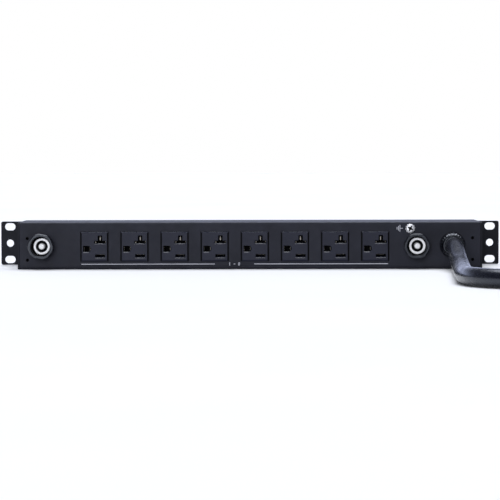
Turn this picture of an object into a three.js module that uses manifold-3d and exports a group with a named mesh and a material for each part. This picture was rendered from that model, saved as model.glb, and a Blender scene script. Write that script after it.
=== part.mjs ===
// Rack power strip: one rack unit high and 19 inches over its ears, with a bank of outlets on each long side,
// two push-to-reset breakers, a ground screw and a supply cord with a locking plug.
// Millimetres. +Z is up, -Y is the side with the breakers and the cord. The origin is on the resting surface,
// under the middle of the strip without its cord.
import * as THREE from 'three';
import { mergeVertices } from 'three/addons/utils/BufferGeometryUtils.js';
import Module from 'manifold-3d';

const wasm = await Module();
wasm.setup();

// Sheet metal body
const RACK_WIDTH = 482.6;
const BODY_WIDTH = 433.4;
const BODY_HEIGHT = 43.6;
const BODY_DEPTH = 88;
const SHEET = 1.5;
const BEND_RADIUS = 2;
const LIP_HEIGHT = 2;
const GAP = 0.3;
const FLANGE_REACH = 14;
const PANEL_HOLES_X = 207.6;
const PANEL_HOLES_Z = [8.7, 28.9];
const PANEL_HOLE_RADIUS = 1.5;
const FLANGE_INSET = 4;
const COVER_SCREW_X = 207;
const COVER_SCREW_INSET = 18;
const COVER_SCREW_HOLE = 1.8;
const COVER_SCREW_SINK = 3.3;
const COVER_SCREW_PILOT = 1.7;

// Rack ears
const EAR_HEIGHT = 42;
const EAR_BOTTOM = 0.35;
const EAR_PLATE = 2;
const EAR_LEG = 45;
const EAR_CORNER = 1.8;
const RACK_SLOT_X = 232.55;
const RACK_SLOT_PITCH = 15.875;
const RACK_SLOT_LENGTH = 10.2;
const RACK_SLOT_HEIGHT = 7.1;
const EAR_SCREW_FROM_FAR = 30;
const EAR_SCREW_SPREAD = 10;
const EAR_SCREW_HOLE = 2.3;
const EAR_SCREW_PROFILE = [[0, -7], [1.9, -7], [1.9, 0.3], [3.8, 0.3], [3.8, 1.2], [2.6, 2.2], [0, 2.4]];

// Outlets
const OUTLET_COUNT = 8;
const OUTLET_FIRST_X = -145.1;
const OUTLET_PITCH = 37.4;
const OUTLET_Z = 21.3;
const OUTLET_FACE = [25.9, 27.7];
const OUTLET_PROUD = 1.4;
const OUTLET_CHAMFER = 0.8;
const OUTLET_BODY = [22.6, 25.2];
const OUTLET_BODY_DEPTH = 27;
const SLOT_DEPTH = 14;
const SLOT_COLUMN_X = 5.3;
const SLOT_HEIGHT = 2.3;
const NEUTRAL_Z = 4.2;
const NEUTRAL_WIDTH = 10.6;
const NEUTRAL_LEG = [3.8, 10.2];
const HOT_Z = -8.5;
const HOT_WIDTH = 9;
const GROUND_X = -6.8;
const GROUND_Z = -2.15;
const GROUND_HOLE = [7.1, 5.5];

// Breakers
const BREAKERS = { left: -193.9, right: 155.8 };
const BREAKER_Z = 21.6;
const BREAKER_BODY = [16, 26, 30];
const BREAKER_TERMINALS_Z = [-7.6, 7.4];
const BREAKER_TERMINAL = [6.3, 0.8, 8];
const NECK_RADIUS = 6;
const RING_RADIUS = 7.6;
const RING_BORE = 4.65;
const RING_FACE = 3;
const GUARD_HEIGHT = 11;
const GUARD_FLATS = 23;
const GUARD_ROUND = 11.95;
const GUARD_RECESS = 8.9;
const GUARD_FLOOR = 1.4;
const GUARD_CHAMFER = [1, 1.2];
// The guards sit a little to the left of their breakers' axes.
const GUARD_SHIFT = -0.7;
const BUTTON_RADIUS = 2.85;
const BUTTON_FOOT = -9.5;
const BUTTON_WELL = [3.2, 11];
const BUTTON_TOP = 6.2;

// Ground screw
const GROUND_SCREW = [149.4, 37.8];
const GROUND_SCREW_HOLE = 2.3;
const GROUND_SCREW_PROFILE = [[0, -8], [2, -8], [2, 1.3], [4.1, 1.3], [4.1, 2.2], [3, 3.4], [0, 3.6]];
const GROUND_WASHER_RADIUS = 4.5;
const GROUND_WASHER_FACE = 1;
const CROSS_LENGTH = 4.8;
const CROSS_WIDTH = 1;
const CROSS_FLOOR = 2.4;

// Cord and its strain relief
const CORD_DIAMETER = 15.8;
const RELIEF_X = 188.7;
const RELIEF_Z = 22.4;
const RELIEF_HEIGHT = 12;
const RELIEF_BARREL = 9.7;
const RELIEF_INSIDE = 12;
const RELIEF_DOME = [[12, 3], [11.4, 5], [10.3, 7], [9.6, 8.6], [9.4, 10.8], [9.1, RELIEF_HEIGHT]];
const LOCKNUT_WIDTH = 27;
const LOCKNUT_DEPTH = 5;
const LOCKNUT_CORNER = 6;
const COIL_CENTRE_X = 318;
const COIL_MIDDLE_RADIUS = 79.5;
const COIL_PITCH = 15.9;
const TIE_THICKNESS = 1.2;
const TIE_WIDTH = 14;
const TIE_SLACK = 1.4;
const LEAD_TURN_RADIUS = 72;
const LEAD_TURN_STEPS = 6;
// The lead's free stretch, up to its last turn. Each point is [x, distance in front of the panel, z].
const LEAD_ROUTE = [
  [188.7, 12.3, 22.4], [188.6, 25, 21.9], [188.4, 40, 19.3], [188.2, 56, 15.15], [188.2, 72, 11],
  [187.9, 87, 8.4], [187.2, 100, 7.9], [185, 130, 7.9], [182, 170, 7.9], [179.1, 210, 7.9],
  [177.2, 236, 7.9], [175.3, 262, 7.9],
];
const PLUG_RADIUS = 25;
const PLUG_CAP_LENGTH = 46;
const PLUG_CAP_PROFILE = [[11.5, 0], [12.5, 3], [13.5, 16], [22, 24], [25, 30], [25, PLUG_CAP_LENGTH]];
const PLUG_BODY_LENGTH = 32;
const PLUG_NOSE_RADIUS = 22;
const PLUG_NOSE_LENGTH = 8;
const BLADE_RADIUS = 14.2;
const BLADE_THICKNESS = 1.8;
const BLADE_LENGTH = 18;
// Each blade's middle and half of its width, in degrees round the plug's axis
const BLADES = { ground: [90, 28], neutral: [210, 25], hot: [330, 21] };
const TAIL_LENGTH = 26;

// Wires
const WIRE_RADIUS = 2;
const BAR_THICKNESS = 1.2;
const BAR_HEIGHT = 5;
const NEUTRAL_BAR_Z = 31;
const GROUND_BAR_Z = 19;
const HOT_BAR_Z = 8;
const BARS_LEFT = -160;
const BARS_RIGHT = 133;

// Worked out from the dimensions above
const MIDDLE_Y = (RELIEF_HEIGHT - OUTLET_PROUD) / 2;
const NEAR = MIDDLE_Y - BODY_DEPTH / 2;
const FAR = MIDDLE_Y + BODY_DEPTH / 2;
const HALF_WIDTH = BODY_WIDTH / 2;
const HOUSING_END = HALF_WIDTH - SHEET - GAP;
const EAR_INNER = HALF_WIDTH + GAP;
const EAR_MIDDLE_Z = EAR_BOTTOM + EAR_HEIGHT / 2;
const EAR_SCREWS = [
  [FAR - EAR_SCREW_FROM_FAR, EAR_MIDDLE_Z - EAR_SCREW_SPREAD],
  [FAR - EAR_SCREW_FROM_FAR, EAR_MIDDLE_Z + EAR_SCREW_SPREAD],
];
const COVER_SCREWS = [
  [-COVER_SCREW_X, NEAR + COVER_SCREW_INSET],
  [-COVER_SCREW_X, FAR - COVER_SCREW_INSET],
  [COVER_SCREW_X, NEAR + COVER_SCREW_INSET],
  [COVER_SCREW_X, FAR - COVER_SCREW_INSET],
];
const CORD_RADIUS = CORD_DIAMETER / 2;
const COIL_OUTER = COIL_MIDDLE_RADIUS + COIL_PITCH + CORD_RADIUS;
const COIL_INNER = COIL_MIDDLE_RADIUS - COIL_PITCH - CORD_RADIUS;
const COIL_CLEAR = Math.sqrt(COIL_OUTER ** 2 - (COIL_OUTER - CORD_DIAMETER) ** 2) + 1;
const [LEAD_BEFORE, LEAD_LAST] = LEAD_ROUTE.slice(-2);
const LEAD_SLOPE = Math.atan2(LEAD_BEFORE[0] - LEAD_LAST[0], LEAD_LAST[1] - LEAD_BEFORE[1]);
const LEAD_TURN_CENTRE = [
  LEAD_LAST[0] + LEAD_TURN_RADIUS * Math.cos(LEAD_SLOPE),
  NEAR - LEAD_LAST[1] - LEAD_TURN_RADIUS * Math.sin(LEAD_SLOPE),
];
const TANGENT_Y = LEAD_TURN_CENTRE[1] - LEAD_TURN_RADIUS;
const COIL_CENTRE_Y = TANGENT_Y + COIL_MIDDLE_RADIUS + COIL_PITCH;
const COIL_BOTTOM = TIE_THICKNESS + GAP;
const COIL_TOP = COIL_BOTTOM + 2 * CORD_DIAMETER;

const part = new THREE.Group();
const nearSide = new THREE.Group();
const farSide = new THREE.Group();
nearSide.position.set(0, NEAR, 0);
farSide.position.set(0, FAR, 0);
farSide.rotation.z = Math.PI;
part.add(nearSide, farSide);

// Finishes
const paint = { color: 0x2b2b30, roughness: 0.5, metalness: 0.3 };
const earPaint = { color: 0x25272c, roughness: 0.55, metalness: 0.3 };
const plastic = { color: 0x2e2f37, roughness: 0.45, metalness: 0 };
const darkPlastic = { color: 0x17181b, roughness: 0.4, metalness: 0 };
const whitePlastic = { color: 0xe8e8e6, roughness: 0.4, metalness: 0 };
const nickel = { color: 0xd8d8da, roughness: 0.2, metalness: 1 };
const brass = { color: 0xc9a45a, roughness: 0.3, metalness: 1 };
const jacket = { color: 0x1a1b20, roughness: 0.45, metalness: 0 };
const greenJacket = { color: 0x2f7d46, roughness: 0.5, metalness: 0 };
const whiteJacket = { color: 0xdedede, roughness: 0.5, metalness: 0 };

function add(group, name, geometry, finish) {
  const mesh = new THREE.Mesh(geometry, new THREE.MeshStandardMaterial(finish));
  mesh.name = name;
  group.add(mesh);
  return mesh;
}

// Solids for joining and cutting
function toSolid(geometry) {
  const bare = geometry.clone();
  bare.deleteAttribute('normal');
  bare.deleteAttribute('uv');
  const merged = mergeVertices(bare, 1e-4);
  return new wasm.Manifold(new wasm.Mesh({
    numProp: 3,
    vertProperties: merged.attributes.position.array,
    triVerts: new Uint32Array(merged.index.array),
  }));
}

function toGeometry(solid) {
  const mesh = solid.getMesh();
  const geometry = new THREE.BufferGeometry();
  geometry.setAttribute('position', new THREE.BufferAttribute(mesh.vertProperties, 3));
  geometry.setIndex(new THREE.BufferAttribute(mesh.triVerts, 1));
  geometry.computeVertexNormals();
  return geometry;
}

function cut(base, tools) {
  return toGeometry(tools.reduce((solid, tool) => solid.subtract(toSolid(tool)), toSolid(base)));
}

function join(pieces) {
  return toGeometry(pieces.slice(1).reduce((solid, piece) => solid.add(toSolid(piece)), toSolid(pieces[0])));
}

function common(a, b) {
  return toGeometry(toSolid(a).intersect(toSolid(b)));
}

// Simple shapes
function box(x, y, z) {
  const geometry = new THREE.BoxGeometry(x[1] - x[0], y[1] - y[0], z[1] - z[0]);
  return geometry.translate((x[0] + x[1]) / 2, (y[0] + y[1]) / 2, (z[0] + z[1]) / 2);
}

function extruded(shape, depth, curveSegments = 5) {
  return new THREE.ExtrudeGeometry(shape, { depth, bevelEnabled: false, curveSegments });
}

// The shape's x and y become Y and Z, and its depth runs along +X from the given start.
function alongX(shape, start, depth, curveSegments) {
  const turn = new THREE.Matrix4().makeBasis(
    new THREE.Vector3(0, 1, 0),
    new THREE.Vector3(0, 0, 1),
    new THREE.Vector3(1, 0, 0),
  );
  return extruded(shape, depth, curveSegments).applyMatrix4(turn).translate(start, 0, 0);
}

// The shape's x and y become X and Z, and its depth runs along -Y from the given start.
function alongMinusY(shape, start, depth, curveSegments) {
  return extruded(shape, depth, curveSegments).rotateX(Math.PI / 2).translate(0, start, 0);
}

function alongZ(shape, start, depth, curveSegments) {
  return extruded(shape, depth, curveSegments).translate(0, 0, start);
}

function polygon(points) {
  return new THREE.Shape(points.map(([x, y]) => new THREE.Vector2(x, y)));
}

// A turned piece from [radius, height] pairs, listed so that the surface faces out.
function turned(profile, segments) {
  return new THREE.LatheGeometry(profile.map(([r, h]) => new THREE.Vector2(r, h)), segments);
}

// Turned pieces whose height runs out of the near side (-Y), up (+Z) or to the right (+X).
function turnedOut(profile, segments) {
  return turned(profile, segments).rotateZ(Math.PI);
}

function turnedUp(profile, segments) {
  return turned(profile, segments).rotateX(Math.PI / 2);
}

function turnedRight(profile, segments) {
  return turned(profile, segments).rotateZ(-Math.PI / 2);
}

function drill(x, z, radius, segments = 20) {
  const reach = 12;
  return new THREE.CylinderGeometry(radius, radius, reach, segments).translate(x, 0, z);
}

function drillX(y, z, radius) {
  const reach = 12;
  return new THREE.CylinderGeometry(radius, radius, reach, 16).rotateZ(Math.PI / 2).translate(0, y, z);
}

function rounded(width, height, radius) {
  const shape = new THREE.Shape();
  const x = width / 2 - radius;
  const y = height / 2 - radius;
  shape.absarc(x, y, radius, 0, Math.PI / 2);
  shape.absarc(-x, y, radius, Math.PI / 2, Math.PI);
  shape.absarc(-x, -y, radius, Math.PI, 1.5 * Math.PI);
  shape.absarc(x, -y, radius, 1.5 * Math.PI, 2 * Math.PI);
  shape.closePath();
  return shape;
}

// A tube of eight or more sides along points that were chosen by hand.
function tube(points, radius, sides, steps) {
  const section = new THREE.Shape();
  for (let i = 0; i < sides; i += 1) {
    const angle = (2 * Math.PI * i) / sides;
    const corner = [radius * Math.cos(angle), radius * Math.sin(angle)];
    if (i === 0) section.moveTo(...corner);
    else section.lineTo(...corner);
  }
  section.closePath();
  const path = new THREE.CatmullRomCurve3(points.map((p) => new THREE.Vector3(...p)), false, 'centripetal');
  return new THREE.ExtrudeGeometry(section, { steps, extrudePath: path, bevelEnabled: false });
}

function outletX(index) {
  return OUTLET_FIRST_X + index * OUTLET_PITCH;
}

// Sheet metal
function foldedSection(bottom) {
  const shape = new THREE.Shape();
  const inner = BEND_RADIUS - SHEET;
  const top = BODY_HEIGHT;
  shape.moveTo(NEAR, bottom);
  shape.lineTo(NEAR + SHEET, bottom);
  shape.lineTo(NEAR + SHEET, top - BEND_RADIUS);
  shape.absarc(NEAR + BEND_RADIUS, top - BEND_RADIUS, inner, Math.PI, Math.PI / 2, true);
  shape.lineTo(FAR - BEND_RADIUS, top - SHEET);
  shape.absarc(FAR - BEND_RADIUS, top - BEND_RADIUS, inner, Math.PI / 2, 0, true);
  shape.lineTo(FAR - SHEET, bottom);
  shape.lineTo(FAR, bottom);
  shape.lineTo(FAR, top - BEND_RADIUS);
  shape.absarc(FAR - BEND_RADIUS, top - BEND_RADIUS, BEND_RADIUS, 0, Math.PI / 2);
  shape.lineTo(NEAR + BEND_RADIUS, top);
  shape.absarc(NEAR + BEND_RADIUS, top - BEND_RADIUS, BEND_RADIUS, Math.PI / 2, Math.PI);
  shape.closePath();
  return shape;
}

function outletWindow(x, y) {
  const halfWidth = OUTLET_BODY[0] / 2 + GAP;
  const halfHeight = OUTLET_BODY[1] / 2 + GAP;
  const through = [y - 2 * SHEET, y + 2 * SHEET];
  return box([x - halfWidth, x + halfWidth], through, [OUTLET_Z - halfHeight, OUTLET_Z + halfHeight]);
}

function makeHousing() {
  const sheet = alongX(foldedSection(LIP_HEIGHT + GAP), -HOUSING_END, 2 * HOUSING_END, 4);
  const tools = [];
  for (let i = 0; i < OUTLET_COUNT; i += 1) {
    tools.push(outletWindow(outletX(i), NEAR), outletWindow(outletX(i), FAR));
  }
  for (const x of Object.values(BREAKERS)) {
    tools.push(drill(x, BREAKER_Z, NECK_RADIUS + GAP, 24).translate(0, NEAR, 0));
  }
  tools.push(drill(RELIEF_X, RELIEF_Z, RELIEF_BARREL + GAP, 28).translate(0, NEAR, 0));
  tools.push(drill(...GROUND_SCREW, GROUND_SCREW_HOLE, 12).translate(0, NEAR, 0));
  for (const x of [-PANEL_HOLES_X, PANEL_HOLES_X]) {
    for (const z of PANEL_HOLES_Z) tools.push(drill(x, z, PANEL_HOLE_RADIUS, 16).translate(0, NEAR, 0));
  }
  add(part, 'housing', cut(sheet, tools), paint);
}

function makeBottomCover() {
  const shape = new THREE.Shape();
  shape.moveTo(NEAR + SHEET, LIP_HEIGHT);
  shape.lineTo(NEAR, LIP_HEIGHT);
  shape.absarc(NEAR + SHEET, SHEET, SHEET, Math.PI, 1.5 * Math.PI);
  shape.absarc(FAR - SHEET, SHEET, SHEET, 1.5 * Math.PI, 2 * Math.PI);
  shape.lineTo(FAR, LIP_HEIGHT);
  shape.lineTo(FAR - SHEET, LIP_HEIGHT);
  shape.lineTo(FAR - SHEET, SHEET);
  shape.lineTo(NEAR + SHEET, SHEET);
  shape.closePath();
  const sheet = alongX(shape, -HOUSING_END, 2 * HOUSING_END, 4);
  const sinks = COVER_SCREWS.map(([x, y]) => {
    const profile = [
      [0, -1], [COVER_SCREW_SINK + 1, -1], [COVER_SCREW_SINK, 0], [COVER_SCREW_HOLE, SHEET],
      [COVER_SCREW_HOLE, 2 * SHEET], [0, 2 * SHEET],
    ];
    return turnedUp(profile, 16).translate(x, y, 0);
  });
  add(part, 'bottom_cover', cut(sheet, sinks), paint);
}

function makeCoverScrew(name, x, y) {
  const head = COVER_SCREW_SINK - 0.5;
  const shank = COVER_SCREW_HOLE - 0.4;
  const profile = [[0, 0.1], [head, 0.1], [shank, SHEET], [shank, 4 * SHEET], [0, 4 * SHEET]];
  add(part, name, turnedUp(profile, 16), nickel).position.set(x, y, 0);
}

function makeEndPlate(name, side) {
  const inner = HALF_WIDTH - SHEET;
  const plate = alongX(rounded(BODY_DEPTH, BODY_HEIGHT, BEND_RADIUS), inner, SHEET, 4);
  plate.translate(0, MIDDLE_Y, BODY_HEIGHT / 2);
  const flangeBottom = SHEET + GAP;
  const flange = box(
    [inner - FLANGE_REACH, inner + SHEET / 2],
    [NEAR + FLANGE_INSET, FAR - FLANGE_INSET],
    [flangeBottom, flangeBottom + SHEET],
  );
  const pilot = new THREE.CylinderGeometry(COVER_SCREW_PILOT, COVER_SCREW_PILOT, 8, 16).rotateX(Math.PI / 2);
  const tools = EAR_SCREWS.map(([y, z]) => drillX(y, z, EAR_SCREW_HOLE).translate(HALF_WIDTH, 0, 0));
  for (const [, y] of COVER_SCREWS.slice(2)) {
    tools.push(pilot.clone().translate(COVER_SCREW_X, y, flangeBottom));
  }
  const geometry = cut(join([plate, flange]), tools);
  add(part, name, side > 0 ? geometry : mirrored(geometry), paint);
}

// The same solid on the other side of the plane x = 0, with its faces turned out again.
function mirrored(geometry) {
  const copy = geometry.clone().scale(-1, 1, 1);
  const index = copy.index.array;
  for (let i = 0; i < index.length; i += 3) {
    [index[i + 1], index[i + 2]] = [index[i + 2], index[i + 1]];
  }
  copy.computeVertexNormals();
  return copy;
}

// Rack ears
function rackSlot(z) {
  const shape = rounded(RACK_SLOT_LENGTH, RACK_SLOT_HEIGHT, RACK_SLOT_HEIGHT / 2 - 0.01);
  return alongMinusY(shape, FAR + 5, 12, 6).translate(RACK_SLOT_X, 0, z);
}

function makeEar(name, side) {
  const section = new THREE.Shape();
  section.moveTo(EAR_INNER, FAR - EAR_LEG);
  section.lineTo(EAR_INNER + EAR_PLATE, FAR - EAR_LEG);
  section.lineTo(EAR_INNER + EAR_PLATE, FAR - EAR_PLATE);
  section.lineTo(RACK_WIDTH / 2, FAR - EAR_PLATE);
  section.lineTo(RACK_WIDTH / 2, FAR);
  section.absarc(EAR_INNER + EAR_PLATE, FAR - EAR_PLATE, EAR_PLATE, Math.PI / 2, Math.PI);
  section.closePath();
  const bracket = alongZ(section, EAR_BOTTOM, EAR_HEIGHT, 4);
  const outline = alongMinusY(rounded(100, EAR_HEIGHT, EAR_CORNER), FAR + 5, 100, 4);
  outline.translate(RACK_WIDTH / 2 - 50, 0, EAR_MIDDLE_Z);
  const tools = [-RACK_SLOT_PITCH, RACK_SLOT_PITCH].map((offset) => rackSlot(EAR_MIDDLE_Z + offset));
  tools.push(drill(RACK_SLOT_X, EAR_MIDDLE_Z, RACK_SLOT_HEIGHT / 2, 24).translate(0, FAR, 0));
  for (const [y, z] of EAR_SCREWS) tools.push(drillX(y, z, EAR_SCREW_HOLE).translate(EAR_INNER, 0, 0));
  const geometry = cut(common(bracket, outline), tools);
  add(part, name, side > 0 ? geometry : mirrored(geometry), earPaint);
}

function makeEarScrew(name, side, y, z) {
  const screw = add(part, name, turnedRight(EAR_SCREW_PROFILE, 16), nickel);
  screw.position.set(side * (EAR_INNER + EAR_PLATE), y, z);
  if (side < 0) screw.rotation.z = Math.PI;
}

// Outlets
function groundHole() {
  const shape = new THREE.Shape();
  const [width, height] = GROUND_HOLE;
  const arcX = width / 2 - height / 2;
  shape.moveTo(-width / 2, height / 2);
  shape.lineTo(-width / 2, -height / 2);
  shape.absarc(arcX, 0, height / 2, -Math.PI / 2, Math.PI / 2);
  shape.closePath();
  return alongMinusY(shape, 0, SLOT_DEPTH + 5, 6).translate(GROUND_X, 0, GROUND_Z);
}

function neutralSlot() {
  const [legWidth, legTop] = NEUTRAL_LEG;
  const half = NEUTRAL_WIDTH / 2;
  const low = NEUTRAL_Z - SLOT_HEIGHT / 2;
  const high = NEUTRAL_Z + SLOT_HEIGHT / 2;
  const shape = polygon([
    [-half, low], [half, low], [half, high], [legWidth / 2, high],
    [legWidth / 2, legTop], [-legWidth / 2, legTop], [-legWidth / 2, high], [-half, high],
  ]);
  return alongMinusY(shape, 0, SLOT_DEPTH + 5).translate(SLOT_COLUMN_X, 0, 0);
}

function hotSlot() {
  const half = HOT_WIDTH / 2;
  return box(
    [SLOT_COLUMN_X - half, SLOT_COLUMN_X + half],
    [-SLOT_DEPTH - 5, 0],
    [HOT_Z - SLOT_HEIGHT / 2, HOT_Z + SLOT_HEIGHT / 2],
  );
}

// A rectangular plate whose front edges are chamfered all round.
function chamferedFace(width, height, back, front) {
  const geometry = new THREE.BoxGeometry(width, back - front, height, 1, 2, 1);
  geometry.translate(0, (back + front) / 2, 0);
  const position = geometry.attributes.position;
  const middle = (back + front) / 2;
  for (let i = 0; i < position.count; i += 1) {
    const y = position.getY(i);
    if (Math.abs(y - middle) < 1e-4) position.setY(i, front + OUTLET_CHAMFER);
    if (Math.abs(y - front) < 1e-4) {
      position.setX(i, position.getX(i) * (1 - (2 * OUTLET_CHAMFER) / width));
      position.setZ(i, position.getZ(i) * (1 - (2 * OUTLET_CHAMFER) / height));
    }
  }
  return geometry;
}

function outletGeometry() {
  const face = chamferedFace(...OUTLET_FACE, -GAP, -OUTLET_PROUD);
  const body = box(
    [-OUTLET_BODY[0] / 2, OUTLET_BODY[0] / 2],
    [-GAP - 0.2, OUTLET_BODY_DEPTH],
    [-OUTLET_BODY[1] / 2, OUTLET_BODY[1] / 2],
  );
  const reach = SLOT_DEPTH;
  const slots = [groundHole(), neutralSlot(), hotSlot()].map((slot) => slot.translate(0, reach, 0));
  return cut(join([face, body]), slots);
}

function makeOutlets() {
  const geometry = outletGeometry();
  for (let i = 0; i < OUTLET_COUNT; i += 1) {
    const near = add(nearSide, `outlet_near_${i + 1}`, geometry, plastic);
    near.position.set(outletX(i), 0, OUTLET_Z);
    const far = add(farSide, `outlet_far_${i + 1}`, geometry, plastic);
    far.position.set(-outletX(i), 0, OUTLET_Z);
  }
}

// Breakers, drawn with their axis on local -Y and the panel's outer face at local y = 0
function breakerBody() {
  const [width, height, depth] = BREAKER_BODY;
  const front = SHEET + GAP;
  const pieces = [box([-width / 2, width / 2], [front, front + depth], [-height / 2, height / 2])];
  const [tabWidth, tabThickness, tabLength] = BREAKER_TERMINAL;
  for (const z of BREAKER_TERMINALS_Z) {
    pieces.push(box(
      [-tabWidth / 2, tabWidth / 2],
      [front + depth - 1, front + depth + tabLength],
      [z - tabThickness / 2, z + tabThickness / 2],
    ));
  }
  const [wellRadius, wellDepth] = BUTTON_WELL;
  const well = turnedOut([[0, -wellDepth], [wellRadius, -wellDepth], [wellRadius, 0], [0, 0]], 20);
  return cut(join(pieces), [well]);
}

function guardNut() {
  const hexagon = [];
  for (let i = 0; i < 6; i += 1) {
    const angle = (Math.PI / 3) * i;
    const corner = GUARD_FLATS / 2 / Math.cos(Math.PI / 6);
    hexagon.push([corner * Math.cos(angle), corner * Math.sin(angle)]);
  }
  const prism = alongMinusY(polygon(hexagon), -GAP, GUARD_HEIGHT - GAP);
  const [across, along] = GUARD_CHAMFER;
  const profile = [
    [0, 0], [GUARD_ROUND, 0], [GUARD_ROUND, GUARD_HEIGHT - along], [GUARD_ROUND - across, GUARD_HEIGHT],
    [0, GUARD_HEIGHT],
  ];
  const round = turnedOut(profile, 36);
  const recess = [
    [0, GUARD_FLOOR], [GUARD_RECESS, GUARD_FLOOR], [GUARD_RECESS, GUARD_HEIGHT + 1], [0, GUARD_HEIGHT + 1],
  ];
  const bore = [[0, -1], [NECK_RADIUS + GAP, -1], [NECK_RADIUS + GAP, GUARD_FLOOR + 1], [0, GUARD_FLOOR + 1]];
  const boreCut = turnedOut(bore, 28).translate(-GUARD_SHIFT, 0, 0);
  return cut(common(prism, round), [turnedOut(recess, 28), boreCut]).translate(GUARD_SHIFT, 0, 0);
}

function makeBreaker(side, x) {
  const placed = (mesh) => mesh.position.set(x, 0, BREAKER_Z);
  placed(add(nearSide, `breaker_body_${side}`, breakerBody(), darkPlastic));
  placed(add(nearSide, `breaker_guard_${side}`, guardNut(), darkPlastic));
  const foot = -SHEET;
  const seat = GUARD_FLOOR + GAP;
  const bushing = [
    [RING_BORE, foot], [NECK_RADIUS, foot], [NECK_RADIUS, seat], [RING_RADIUS, seat],
    [RING_RADIUS, RING_FACE - 0.4], [RING_RADIUS - 0.4, RING_FACE], [RING_BORE, RING_FACE], [RING_BORE, foot],
  ];
  placed(add(nearSide, `breaker_bushing_${side}`, turnedOut(bushing, 28), nickel));
  const button = [
    [0, BUTTON_FOOT], [BUTTON_RADIUS, BUTTON_FOOT], [BUTTON_RADIUS, BUTTON_TOP - 0.5],
    [BUTTON_RADIUS - 0.5, BUTTON_TOP], [0, BUTTON_TOP],
  ];
  placed(add(nearSide, `reset_button_${side}`, turnedOut(button, 20), whitePlastic));
}

// Ground screw on a toothed washer
function makeGroundScrew() {
  const [x, z] = GROUND_SCREW;
  const long = [-CROSS_LENGTH / 2, CROSS_LENGTH / 2];
  const short = [-CROSS_WIDTH / 2, CROSS_WIDTH / 2];
  const deep = [-2 * CROSS_FLOOR, -CROSS_FLOOR];
  const cross = [box(long, deep, short), box(short, deep, long)];
  const screw = add(nearSide, 'ground_screw', cut(turnedOut(GROUND_SCREW_PROFILE, 20), cross), nickel);
  screw.position.set(x, 0, z);
  const washer = [
    [GROUND_SCREW_HOLE, GAP], [GROUND_WASHER_RADIUS, GAP], [GROUND_WASHER_RADIUS, GROUND_WASHER_FACE],
    [GROUND_SCREW_HOLE, GROUND_WASHER_FACE], [GROUND_SCREW_HOLE, GAP],
  ];
  add(nearSide, 'ground_washer', turnedOut(washer, 20), nickel).position.set(x, 0, z);
}

// Strain relief
function makeStrainRelief() {
  const profile = [
    [0, -RELIEF_INSIDE], [RELIEF_BARREL, -RELIEF_INSIDE], [RELIEF_BARREL, GAP], [RELIEF_DOME[0][0], GAP],
    ...RELIEF_DOME, [0, RELIEF_HEIGHT],
  ];
  add(nearSide, 'strain_relief', turnedOut(profile, 28), darkPlastic).position.set(RELIEF_X, 0, RELIEF_Z);
  const nutFront = SHEET + GAP;
  const outline = rounded(LOCKNUT_WIDTH, LOCKNUT_WIDTH, LOCKNUT_CORNER);
  const nut = alongMinusY(outline, nutFront + LOCKNUT_DEPTH, LOCKNUT_DEPTH, 2);
  const bored = cut(nut, [drill(0, 0, RELIEF_BARREL + GAP, 24).translate(0, nutFront + 2, 0)]);
  add(nearSide, 'relief_locknut', bored, darkPlastic).position.set(RELIEF_X, 0, RELIEF_Z);
}

// Cord. The lead lies on the surface, turns to the right and runs straight up to the coil's side.
function leadPoints() {
  const points = LEAD_ROUTE.map(([x, front, z]) => [x, NEAR - front, z]);
  for (let i = 1; i <= LEAD_TURN_STEPS; i += 1) {
    const angle = Math.PI + LEAD_SLOPE + (i / LEAD_TURN_STEPS) * (Math.PI / 2 - LEAD_SLOPE);
    points.push([
      LEAD_TURN_CENTRE[0] + LEAD_TURN_RADIUS * Math.cos(angle),
      LEAD_TURN_CENTRE[1] + LEAD_TURN_RADIUS * Math.sin(angle),
      CORD_RADIUS,
    ]);
  }
  points.push([COIL_CENTRE_X - COIL_CLEAR, TANGENT_Y, CORD_RADIUS]);
  return points;
}

function makeCord() {
  add(part, 'cord_lead', tube(leadPoints(), CORD_RADIUS, 10, 28), jacket);
  const edge = 5;
  const coil = [
    [COIL_INNER + edge, COIL_BOTTOM], [COIL_OUTER - edge, COIL_BOTTOM], [COIL_OUTER, COIL_BOTTOM + edge],
    [COIL_OUTER, COIL_TOP - edge], [COIL_OUTER - edge, COIL_TOP], [COIL_INNER + edge, COIL_TOP],
    [COIL_INNER, COIL_TOP - edge], [COIL_INNER, COIL_BOTTOM + edge], [COIL_INNER + edge, COIL_BOTTOM],
  ];
  const ring = add(part, 'cord_coil', turnedUp(coil, 40), jacket);
  ring.position.set(COIL_CENTRE_X, COIL_CENTRE_Y, 0);
}

function makeTie() {
  const width = COIL_OUTER - COIL_INNER + 2 * TIE_THICKNESS + TIE_SLACK;
  const height = COIL_TOP + GAP + TIE_THICKNESS;
  const outer = rounded(width, height, 5);
  const inner = rounded(width - 2 * TIE_THICKNESS, height - 2 * TIE_THICKNESS, 4.2);
  const along = alongX(outer, -TIE_WIDTH / 2, TIE_WIDTH, 3);
  const hole = alongX(inner, -TIE_WIDTH, 2 * TIE_WIDTH, 3);
  const tie = add(part, 'cord_tie', cut(along, [hole]), darkPlastic);
  tie.position.set(COIL_CENTRE_X, COIL_CENTRE_Y + COIL_MIDDLE_RADIUS, height / 2);
}

// The plug lies beside the coil with its blades to the right.
function blade(radius, thickness, fromAngle, toAngle) {
  const shape = new THREE.Shape();
  shape.absarc(0, 0, radius, fromAngle, toAngle);
  shape.absarc(0, 0, radius - thickness, toAngle, fromAngle, true);
  shape.closePath();
  return shape;
}

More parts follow.
